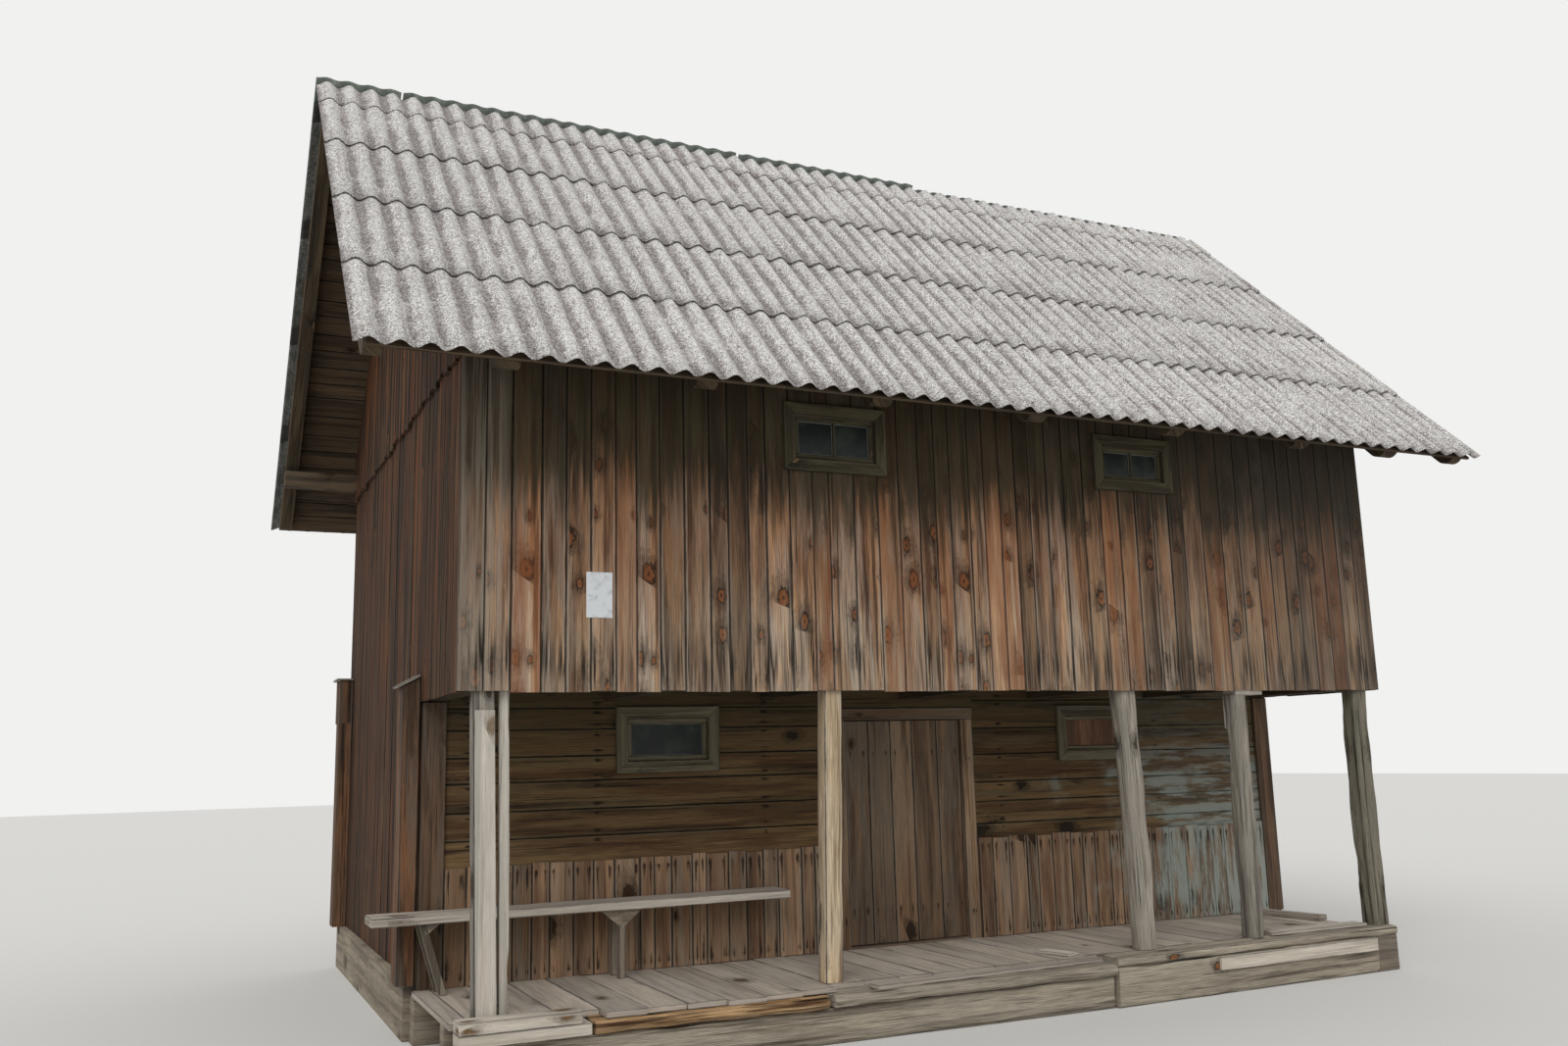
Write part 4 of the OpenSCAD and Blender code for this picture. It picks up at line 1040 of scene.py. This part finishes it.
class GRANARY_OT_posts(PieceOperator, bpy.types.Operator):
    """The five porch posts"""
    bl_idname = "granary.posts"
    bl_label = "Porch posts"

    def make(self, sizes, colours):
        grey = grey_post_finish(colours)
        tan = timber("tan_squared_post", "#ad9576", "#c9b494", "#6f573f", "#b3a794", bleach=0.55,
                     knots=0.16, checks=0.8, spread=0.1, knot_core="#7a4f30")
        tan = end_finish(tan, 0.9, 0.8)
        rng = random.Random(67)
        for number, round_off, rough, bow, finish, slot in (
                (2, 0.10, 0.003, 0.0, tan, "tan_post"), (3, 0.62, 0.008, 0.012, grey, "grey_post"),
                (4, 0.50, 0.007, 0.0, grey, "grey_post"), (5, 0.40, 0.009, -0.014, grey, "grey_post")):
            node = f"porch_post_{number}"
            (foot, foot_size), (head, _) = rings_of(node)
            if number == 4:
                head = foot + Vector((0.008, 0.0, HEAD - CAP_BOARD_H - foot.z))
            reach = Vector((foot_size.x / 2, foot_size.y / 2, 0.0))
            lean = Vector((head.x - foot.x, head.y - foot.y, 0.0))
            rise = Vector((0.0, 0.0, head.z - foot.z))
            bm = new_piece()
            add_hewn(bm, foot - reach, foot + reach + rise, 2, rng, round_off, rough,
                     bend=lambda t: lean * t + Vector((bow * math.sin(math.pi * t), 0, 0)))
            finish_piece(bm, f"hewn_post_{number}", finish, (node,), smooth=40)
        pale = grey_board_finish("bleached_facing_pine", "#b9b0a3", "#c9c2b6", "#b3ada3", 0.5,
                                 core="#7b6a55", dark="#7f7568", spread=0.1, contrast=0.45, knots=0.05,
                                 checks=0.4, seam=0.2)
        low = Vector((LEFT + 6.3202, FRONT + 0.027, HEAD - CAP_BOARD_H))
        high = low + Vector((0.285, 0.140, CAP_BOARD_H))
        hanger = Vector((0.030, 0.022, 0.270))
        bm = new_piece()
        add_board(bm, low, high, 0, rng)
        add_board(bm, (low.x - hanger.x / 2, high.y - hanger.y, low.z - hanger.z),
                  (low.x + hanger.x / 2, high.y, low.z), 2, rng)
        finish_piece(bm, "post_4_cap_board", pale)
        self.boxed_post(rng, grey, pale)

    def boxed_post(self, rng, grey, pale):
        """The first post: a squared post, a pale facing board and a batten beside it."""
        low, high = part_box("porch_post_1")
        foot_x, lean, post_w, post_d = LEFT + 0.212, -0.036, 0.135, 0.120
        batten_in, batten_w, batten_d = 0.022, 0.062, 0.052
        facing_w, facing_in, sunk, top = 0.123, 0.002, 0.001, 0.120
        line = FRONT + 0.090
        batten_x, facing_x = foot_x + post_w / 2 + batten_in, foot_x + facing_in
        face = line - post_d / 2 + sunk

        def leaning(share):
            return lambda t: Vector((lean * share * t, 0, 0))

        def skew(vert):
            vert.co.x += lean / (high.z - low.z) * (vert.co.z - low.z)

        bm = new_piece()
        add_hewn(bm, (foot_x - post_w / 2, line - post_d / 2, low.z),
                 (foot_x + post_w / 2, line + post_d / 2, high.z), 2, rng, 0.12, 0.003,
                 bend=leaning(1.0))
        finish_piece(bm, "hewn_post_1", grey, ("porch_post_1",), smooth=40)
        bm = new_piece()
        add_hewn(bm, (batten_x, line - batten_d / 2, low.z),
                 (batten_x + batten_w, line + batten_d / 2, high.z), 2, rng, 0.10, 0.002,
                 bend=leaning(0.5))
        finish_piece(bm, "batten_1", pale, smooth=40)
        bm = new_piece()
        add_board(bm, (facing_x - facing_w / 2, face - BOARD, low.z),
                  (facing_x + facing_w / 2, face, high.z - top), 2, rng, shape=skew)
        finish_piece(bm, "facing_board_1", pale)


class GRANARY_OT_deck(PieceOperator, bpy.types.Operator):
    """Deck boards, loose planks and the sills under them"""
    bl_idname = "granary.deck"
    bl_label = "Deck and sills"

    def make(self, sizes, colours):
        rng = random.Random(71)
        ends = (40, -8, -8, -140, -120, -132, -160, -128, -110, 12, 10, 25, 8, 32, 14, 20, 6, 60)
        deck_x0, deck_x1 = LEFT + 0.112, RIGHT - 0.300
        back, floor = PORCH - 0.006, DECK - DECK_BOARD
        half_gap, ragged, trodden, stagger = 0.003, 0.020, 0.006, 0.004
        bm = new_piece()
        count = int((deck_x1 - deck_x0) / sizes.deck_w)
        for i in range(count):
            x0 = deck_x0 + i * sizes.deck_w
            x1 = deck_x1 if i == count - 1 else x0 + sizes.deck_w
            y0 = FRONT + ends[i % len(ends)] / 1000
            if x1 >= SILL_C:
                y0 = behind_sill(x1) + stagger * (i % 3)
            add_board(bm, (x0 + half_gap, y0 + rng.uniform(0.0, ragged), floor),
                      (x1 - half_gap, back, DECK - rng.uniform(0.0, trodden)), 1, rng, wear=0.004,
                      waver=0.004)
        edge_x, edge_w, edge_out = LEFT - 0.008, 0.116, 0.009
        add_board(bm, (edge_x, FRONT - edge_out, floor), (edge_x + edge_w, back, DECK), 1, rng)
        timber_w, timber_l, timber_h, skew, room = 0.105, 0.780, 0.045, math.radians(9), 0.026
        reach = timber_l * math.cos(skew) + timber_w * math.sin(skew)
        place = laid((deck_x1 - timber_w, PORCH - room - reach, DECK), skew)
        add_board(bm, (0, 0, 0), (timber_w, timber_l, timber_h), 1, rng, place=place)
        plank_l, plank_w, plank_t, plank_out, plank_end = 1.950, 0.120, 0.028, 0.168, 0.030
        place = laid((SILL_C - plank_end - plank_l, FRONT - plank_out, floor), math.radians(3.4))
        add_board(bm, (0, 0, 0), (plank_l, plank_w, plank_t), 0, rng, place=place)
        finish_piece(bm, "deck_boards", grey_board_finish(
            "trodden_deck_pine", colours.deck_heart, "#b9ad9e", "#a8a096", 0.55, core="#574839",
            dark="#5d5247", spread=0.3, contrast=0.6, checks=0.6, knots=0.05),
            ("porch_deck",))

        pale = grey_board_finish("bleached_corner_pine", "#b5ab9b", "#c8bfb1", "#b0a99e", 0.5,
                                 dark="#756a5c", core="#6b5238", spread=0.15, contrast=0.55, knots=0.04)
        low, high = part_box("corner_planks")
        middle = (low.z + high.z) / 2
        short, narrow = 0.060, 0.008
        bm = new_piece()
        add_board(bm, low, (high.x, high.y, middle), 0, rng, wear=0.004)
        add_board(bm, (low.x, low.y, middle), (high.x - short, high.y - narrow, high.z), 0, rng,
                  wear=0.004)
        finish_piece(bm, "corner_plank_stack", pale, ("corner_planks",))
        loose_x0, loose_x1, loose_in, loose_t, lap = LEFT + 6.5022, LEFT + 7.557, 0.0425, 0.028, 0.020
        bm = new_piece()
        add_board(bm, (loose_x0, FRONT + loose_in, DECK + 0.0004),
                  (loose_x1, behind_sill(deck_x1) + lap, DECK + loose_t), 0, rng, wear=0.004)
        small_spot, small_size = (0.477, -2.324, DECK + SEAT), (0.300, 0.130, 0.022)
        add_board(bm, (0, 0, 0), small_size, 0, rng, wear=0.004,
                  place=laid(small_spot, math.radians(-74)))
        finish_piece(bm, "loose_deck_board", pale)
        self.sills(rng, pale)

    def sills(self, rng, pale):
        """The hewn logs along the front and the beam that they lie on."""
        rotten = timber("rotten_sill_pine", "#966b43", "#bf9a6d", "#452c1a", "#a99a80", bleach=0.5,
                        knots=0.0, checks=1.0, spread=0.2, contrast=1.4)
        rotten = end_finish(rotten, 0.95, 1.0, 0.008)
        worn = timber("bleached_sill_log", "#857a6a", "#aba18f", "#40362b", "#968e80", bleach=0.5,
                      knots=0.06, checks=1.0, spread=0.2)
        worn = end_finish(worn, 0.93, 1.0, 0.006)
        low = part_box("front_sill_log")[0]
        beam_low, beam_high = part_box("front_sill_beam")
        log_gap, log_d, beam_in, block_w, block_gap = 0.030, 0.285, 0.025, 0.240, 0.010
        first, second, third = LEFT + 0.835, LEFT + 2.450, SILL_C
        out, log_top = FRONT - SILL_OUT, DECK - DECK_BOARD
        right_log = RIGHT - 0.150 - SILL_C
        right_beam = right_log - block_w - block_gap
        bm = new_piece()
        add_hewn(bm, (first, out - 0.010, low.z), (second - log_gap, out + log_d, log_top), 0, rng, 0.6,
                 0.020, gouge=2.6)
        finish_piece(bm, "rotten_sill_log", rotten, smooth=45)
        bm = new_piece()
        add_hewn(bm, (second, out - 0.025, low.z), (third - log_gap, out - 0.025 + log_d, log_top), 0,
                 rng, 0.8, 0.015, gouge=2.2)
        add_hewn(bm, (0, 0, beam_high.z), (right_log, SILL_W, DECK), 0, rng, 0.6, 0.008,
                 place=RIGHT_SILL)
        finish_piece(bm, "hewn_sill_logs", worn, ("front_sill_log",), smooth=45)
        bm = new_piece()
        add_hewn(bm, (beam_low.x, out + beam_in, 0.0), (third - log_gap, out + beam_in + SILL_W, low.z),
                 0, rng, 0.25, 0.007)
        add_hewn(bm, (0, 0, 0), (right_beam, SILL_W, beam_high.z), 0, rng, 0.25, 0.007,
                 place=RIGHT_SILL)
        finish_piece(bm, "ground_beam_timbers", worn, ("front_sill_beam",), smooth=45)
        bm = new_piece()
        add_board(bm, (right_beam + block_gap, block_gap, 0), (right_log, SILL_W, beam_high.z), 0, rng,
                  wear=0.006, place=RIGHT_SILL)
        finish_piece(bm, "corner_block_timber", grey_board_finish(
            "brown_block_pine", "#6d6255", "#8d8271", "#7d746a", 0.5))
        top, board_h, board_out = beam_high.z - block_gap, 0.100, 0.022
        bm = new_piece()
        add_board(bm, (0.36 * right_beam, -board_out, top - board_h),
                  (right_beam - 2 * block_gap, block_gap, top), 0, rng, waver=0.003, place=RIGHT_SILL)
        finish_piece(bm, "nailed_sill_board", pale)
        dress(grey_board_finish("side_sill_pine", "#6f6557", "#918774", "#827a6c", 0.5,
                                grain=((1, 1, 0), (0, 0, 1))), "house_sills")


class GRANARY_OT_bench(PieceOperator, bpy.types.Operator):
    """The plank bench and its slanting legs"""
    bl_idname = "granary.bench"
    bl_label = "Bench"

    def make(self, sizes, colours):
        rng = random.Random(83)
        bm = new_piece()
        add_board(bm, *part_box("bench_plank"), 0, rng, wear=0.006, waver=0.004)
        finish_piece(bm, "bench_seat", grey_board_finish(
            "bleached_bench_pine", "#a99f92", "#bcb3a6", "#a9a299", 0.6, dark="#6d6357", core="#6b5644",
            spread=0.15, contrast=0.55), ("bench_plank",))
        low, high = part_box("bench_legs")
        leg_t, leg_d = 0.048, 0.065
        bm = new_piece()
        for foot, slant, size, sides in ((LEFT + 0.125, -0.143, 0.075, (1,)),
                                         (LEFT + 1.370, 0.0, 0.130, (-1, 1))):
            def slanted(vert):
                vert.co.x += slant * (vert.co.z - low.z) / (high.z - low.z)

            for front in (low.y, high.y - leg_d):
                add_board(bm, (foot, front, low.z), (foot + leg_t, front + leg_d, high.z), 2, rng,
                          shape=slanted)
            for side in sides:
                self.gusset(bm, rng, low, high, foot + leg_t / 2, slant, leg_t, side, size)
        finish_piece(bm, "bench_leg_boards", grey_board_finish(
            "bench_leg_pine", "#6f6253", "#8f8270", "#7f776b", 0.5, spread=0.2),
            ("bench_legs",))

    def gusset(self, bm, rng, low, high, foot, slant, leg_t, side, size):
        """A triangle between a leg and the plank, sawn from a board."""
        thick = 0.025
        top = Vector((foot + slant, low.y, high.z))
        share = 1 - size / (high.z - low.z)
        mid = Vector((foot + slant * share, low.y, high.z - size))
        tip = Vector((mid.x + side * (size + leg_t / 2), low.y, high.z))
        cuts = [(mid, Vector((side * size, 0, -abs(tip.x - mid.x))))]
        if slant:
            cuts.append((mid, Vector((-size, 0, -abs(top.x - mid.x)))))
        ends = sorted((top.x, mid.x, tip.x))
        add_board(bm, (ends[0], low.y, mid.z), (ends[-1], low.y + thick, high.z), 0, rng, wear=0,
                  cuts=0, mitres=cuts)


def wave_height(x, wave):
    """Underside of a corrugated sheet over its bearing, with a valley at x = 0."""
    half = (WAVE_H - SHEET_T) / 2
    return half - half * math.cos(2 * math.pi * x / wave)


def add_sheet(bm, at, waves, up, length, wave, rng, plane, lift=0.0, lap=True, start=0.0):
    """One corrugated sheet on a slope, from a wave on. It tilts over the course below, and its last
    half wave rises over its neighbour. start is the phase of its first wave."""
    number = rng.uniform(0.05, 0.95)
    width, per_wave, side_rise = waves * wave, 10, SHEET_T + 0.0008
    made = bmesh.ops.create_grid(bm, x_segments=int(waves * per_wave), y_segments=4, size=0.5)["verts"]
    base = ROOF_BOARD + SEAT + LAP_RISE * SHEET_L / COURSE_L + lift
    uv = bm.loops.layers.uv["grain"]
    board = bm.faces.layers.float["board"]
    for face in {f for v in made for f in v.link_faces}:
        face[board] = number
        for loop in face.loops:
            place = loop.vert.co
            loop[uv].uv = ((place.y + 0.5) * length, start + (place.x + 0.5) * waves)
    sag = rng.uniform(-0.0015, 0.0015)
    for vert in made:
        across = (vert.co.x + 0.5) * width
        down = (vert.co.y + 0.5) * length
        rise = side_rise if lap and across > width - 0.6 * wave else 0.0
        height = base - LAP_RISE / COURSE_L * down + wave_height(across + start * wave, wave) + rise
        vert.co = Vector((VERGE + at * wave + across, up + down,
                          height + sag * math.sin(math.pi * down / length)))
    bmesh.ops.transform(bm, matrix=plane, verts=made)


class GRANARY_OT_roof_sheets(PieceOperator, bpy.types.Operator):
    """Corrugated sheets in four courses a side and the capping over the ridge"""
    bl_idname = "granary.roof_sheets"
    bl_label = "Roof sheets"

    def make(self, sizes, colours):
        rng = random.Random(97)
        pale = sheet_finish(colours)
        # The rear sheets are darker and greener: partly algae, partly painted shade.
        shaded = sheet_finish(colours, "algae_and_shade_fibre_cement", 0.65)
        for side, plane, cement in (("front", FRONT_PLANE, pale), ("rear", REAR_PLANE, shaded)):
            bm = new_piece()
            for k in range(COURSES):
                self.course(bm, k * COURSE_L, SHEET_L, sizes, rng, plane)
            self.finish_sheets(bm, "cement_sheets_" + side, cement, "fibre_cement", "roof_sheets_" + side)
        wing = 0.450
        lift = LAP_RISE * (COURSES * COURSE_L - SLOPE + wing) / COURSE_L + SEAT
        bm = new_piece()
        self.course(bm, SLOPE - wing, wing - WAVE_H * 0.6, sizes, rng, FRONT_PLANE, lift)
        self.finish_sheets(bm, "ridge_wings_front", pale, "ridge_cement", "ridge_capping")
        bm = new_piece()
        self.rear_wings(bm, sizes, rng, wing, lift)
        self.finish_sheets(bm, "ridge_wings_rear", ridge_finish(), "ridge_cement")

    def course(self, bm, up, length, sizes, rng, plane, lift=0.0):
        """One course of sheets from verge to verge, each a little out of line. The waves start at
        the left verge on both slopes, so those of the rear, laid from the right, start part way."""
        count, over = sizes.sheet_waves, 0.6
        total = -2 * VERGE / sizes.wave
        start = -total % 1.0 if plane is REAR_PLANE else 0.0
        at = 0.0
        while at < total - over:
            slip = rng.uniform(-0.006, 0.010) if at > 0 else 0.0
            add_sheet(bm, at, min(count + over, total - at), up + max(0.0, slip), length, sizes.wave,
                      rng, plane, lift, lap=at + count + over < total, start=start)
            at += count

    def rear_wings(self, bm, sizes, rng, wing, lift):
        """The rear wings of the capping run on past the ridge, less so at the right, and two of
        their joints stand open. They are laid from the right: waves, stand and open joint."""
        total = -2 * VERGE / sizes.wave
        low, high, slit = 0.045, 0.085, 0.12
        at = 0.0
        for waves, stand, gap in (
                (6.0, low, 0.0), (6.0, low, 0.0), (6.0, low, 0.0), (2.5, low, 0.0),
                (6.0, high, 0.0), (5.1, high, slit), (6.0, high, 0.0), (6.0, high, 0.0),
                (5.8, high, slit), (total, high, 0.0)):
            waves = min(waves, total - at)
            add_sheet(bm, at, waves - gap, SLOPE - wing, wing + stand, sizes.wave, rng, REAR_PLANE, lift,
                      lap=False, start=(at - total) % 1.0)
            at += waves

    def finish_sheets(self, bm, name, finish, slot, *nodes):
        """Gives the sheets their thickness."""
        piece = finish_piece(bm, name, finish, nodes, smooth=60)
        solid = piece.modifiers.new("thickness", "SOLIDIFY")
        solid.thickness = SHEET_T
        solid.offset = 1.0


class GRANARY_OT_roof_boards(PieceOperator, bpy.types.Operator):
    """Rough boards under the sheets, rafters and plates"""
    bl_idname = "granary.roof_boards"
    bl_label = "Roof boards and timbers"

    def make(self, sizes, colours):
        rng = random.Random(101)
        board_w, half_gap, joint, ragged, under = 0.190, 0.003, 0.002, 0.020, 0.0005
        verge = ROOF_LOW.x
        bm = new_piece()
        for plane in (FRONT_PLANE, REAR_PLANE):
            for s0, s1 in splits(FIRST_BOARD, SLOPE - ROOF_BOARD, board_w, rng, 0.2):
                break_at = rng.uniform(-2.5, 2.5)
                for x0, x1 in ((verge + rng.uniform(0.0, ragged), break_at - joint),
                               (break_at + joint, -verge - rng.uniform(0.0, ragged))):
                    add_board(bm, (x0, s0 + half_gap, under), (x1, s1 - half_gap, ROOF_BOARD), 0, rng,
                              cuts=4, place=plane)
        finish_piece(bm, "roof_board_runs", grey_board_finish(
            "shaded_roof_board", "#3d3226", "#5d4c39", "#544a3c", 0.35, dark="#1c1610", core="#241b13",
            spread=0.35), ("roof_boards",))
        up, out = math.cos(PITCH), math.sin(PITCH)
        dress(grey_board_finish("dark_rafter_pine", "#3b3125", "#574a37", "#4c4437", 0.4,
                                grain=((0, up, out), (1, -out, up)), dark="#1c1711"), "rafters")
        dress(grey_board_finish("plate_end_pine", "#3f3529", "#5e4f3d", "#50483c", 0.45,
                                grain=((1, 0, 0), (0, 1, 0.8)), dark="#211b15"), "wall_plates")


class GRANARY_OT_inner_timbers(PieceOperator, bpy.types.Operator):
    """Timbers that show through the door and under the jetty"""
    bl_idname = "granary.inner_timbers"
    bl_label = "Inner timbers"

    def make(self, sizes, colours):
        dress(grey_board_finish("inner_pine_lengthwise", "#33301f", "#4a4430", "#403c2e", 0.3,
                                grain=((1, 0, 0), (0, 1, 0.8)), dark="#1a1710"),
              "jetty_beam", "upper_front_wall", "rear_wall", "ground_floor", "upper_floor")
        dress(grey_board_finish("inner_pine_crosswise", "#332b1f", "#4a3f2d", "#40382c", 0.3,
                                grain=((0, 1, 0), (1, 0, 0.8)), dark="#1a1510"),
              "floor_joists", "left_wall", "right_wall", "loft_beams")


class GRANARY_OT_stage(PieceOperator, bpy.types.Operator):
    """Pale floor, soft light and the camera"""
    bl_idname = "granary.stage"
    bl_label = "Stage"

    def make(self, sizes, colours):
        scene = bpy.context.scene
        scene.view_settings.view_transform = "Standard"
        bm = bmesh.new()
        bmesh.ops.create_grid(bm, x_segments=1, y_segments=1, size=60.0)
        mesh = bpy.data.meshes.new("pale_floor")
        bm.to_mesh(mesh)
        bm.free()
        floor = bpy.data.objects.new("pale_floor", mesh)
        mat = bpy.data.materials.new("matt_pale_floor")
        mat.use_nodes = True
        shader = mat.node_tree.nodes["Principled BSDF"]
        shader.inputs["Base Color"].default_value = paint("#d3d2cf")
        shader.inputs["Roughness"].default_value = 0.95
        mesh.materials.append(mat)
        scene.collection.objects.link(floor)
        self.light(scene)
        self.camera(scene)

    def light(self, scene):
        """An overcast sky: even light from all round, a little stronger from the front."""
        world = bpy.data.worlds.new("overcast")
        scene.world = world
        world.use_nodes = True
        tree = world.node_tree
        lit = tree.nodes["Background"]
        lit.inputs["Color"].default_value = (1.0, 1.0, 1.0, 1.0)
        lit.inputs["Strength"].default_value = 0.75
        seen = put(tree, "Background", paint("#f1f1f0"), 1.0)
        path = put(tree, "LightPath", out=None).outputs
        chosen = put(tree, "Math.MAXIMUM", path["Is Camera Ray"], path["Is Glossy Ray"])
        mixed = put(tree, "MixShader", chosen, lit.outputs[0], seen)
        tree.links.new(mixed, tree.nodes["World Output"].inputs["Surface"])
        sun = bpy.data.lights.new("soft_sun", "SUN")
        sun.energy = 1.3
        sun.angle = math.radians(40)
        lamp = bpy.data.objects.new("soft_sun", sun)
        lamp.rotation_euler = (math.radians(48), 0, math.radians(-32))
        scene.collection.objects.link(lamp)

    def camera(self, scene):
        """The photograph's view: from the left of the front, a little upwards."""
        turn, lift, roll = math.radians(25.03), math.radians(10.07), math.radians(-1.42)
        ahead = Vector((math.sin(turn) * math.cos(lift), math.cos(turn) * math.cos(lift),
                        math.sin(lift)))
        level = Vector((math.cos(turn), -math.sin(turn), 0))
        above = level.cross(ahead)
        right = math.cos(roll) * level + math.sin(roll) * above
        above = math.cos(roll) * above - math.sin(roll) * level
        eye = bpy.data.cameras.new("photo_view")
        eye.sensor_width = 36.0
        eye.lens = 30.15
        eye.clip_end = 200.0
        camera = bpy.data.objects.new("photo_view", eye)
        camera.matrix_world = Matrix.Translation((-5.562, -10.942, 1.863)) @ Matrix(
            (right, above, -ahead)).transposed().to_4x4()
        scene.collection.objects.link(camera)
        scene.camera = camera


PIECES = (GRANARY_OT_stage, GRANARY_OT_roof_sheets, GRANARY_OT_roof_boards, GRANARY_OT_upper_boards,
          GRANARY_OT_side_boards, GRANARY_OT_porch_wall, GRANARY_OT_door, GRANARY_OT_windows,
          GRANARY_OT_posts, GRANARY_OT_deck, GRANARY_OT_bench, GRANARY_OT_inner_timbers)


class GRANARY_PT_panel(bpy.types.Panel):
    """Lists the sizes, the colours and the pieces"""
    bl_idname = "GRANARY_PT_panel"
    bl_label = "Raised timber granary"
    bl_space_type = "VIEW_3D"
    bl_region_type = "UI"
    bl_category = "Granary"

    def draw(self, context):
        scene = context.scene
        for group in (scene.granary_sizes, scene.granary_colours):
            box = self.layout.box()
            for name in group.__annotations__:
                box.prop(group, name)
        for piece in PIECES:
            self.layout.operator(piece.bl_idname)


CLASSES = (GranarySizes, GranaryColours, *PIECES, GRANARY_PT_panel)


def register():
    for item in CLASSES:
        bpy.utils.register_class(item)
    bpy.types.Scene.granary_sizes = bpy.props.PointerProperty(type=GranarySizes)
    bpy.types.Scene.granary_colours = bpy.props.PointerProperty(type=GranaryColours)


def unregister():
    del bpy.types.Scene.granary_colours
    del bpy.types.Scene.granary_sizes
    for item in reversed(CLASSES):
        bpy.utils.unregister_class(item)


def main():
    register()
    make = bpy.ops.granary
    make.stage()
    make.roof_sheets()
    make.roof_boards()
    make.upper_boards()
    make.side_boards()
    make.porch_wall()
    make.door()
    make.windows()
    make.posts()
    make.deck()
    make.bench()
    make.inner_timbers()


if __name__ == "__main__":
    main()
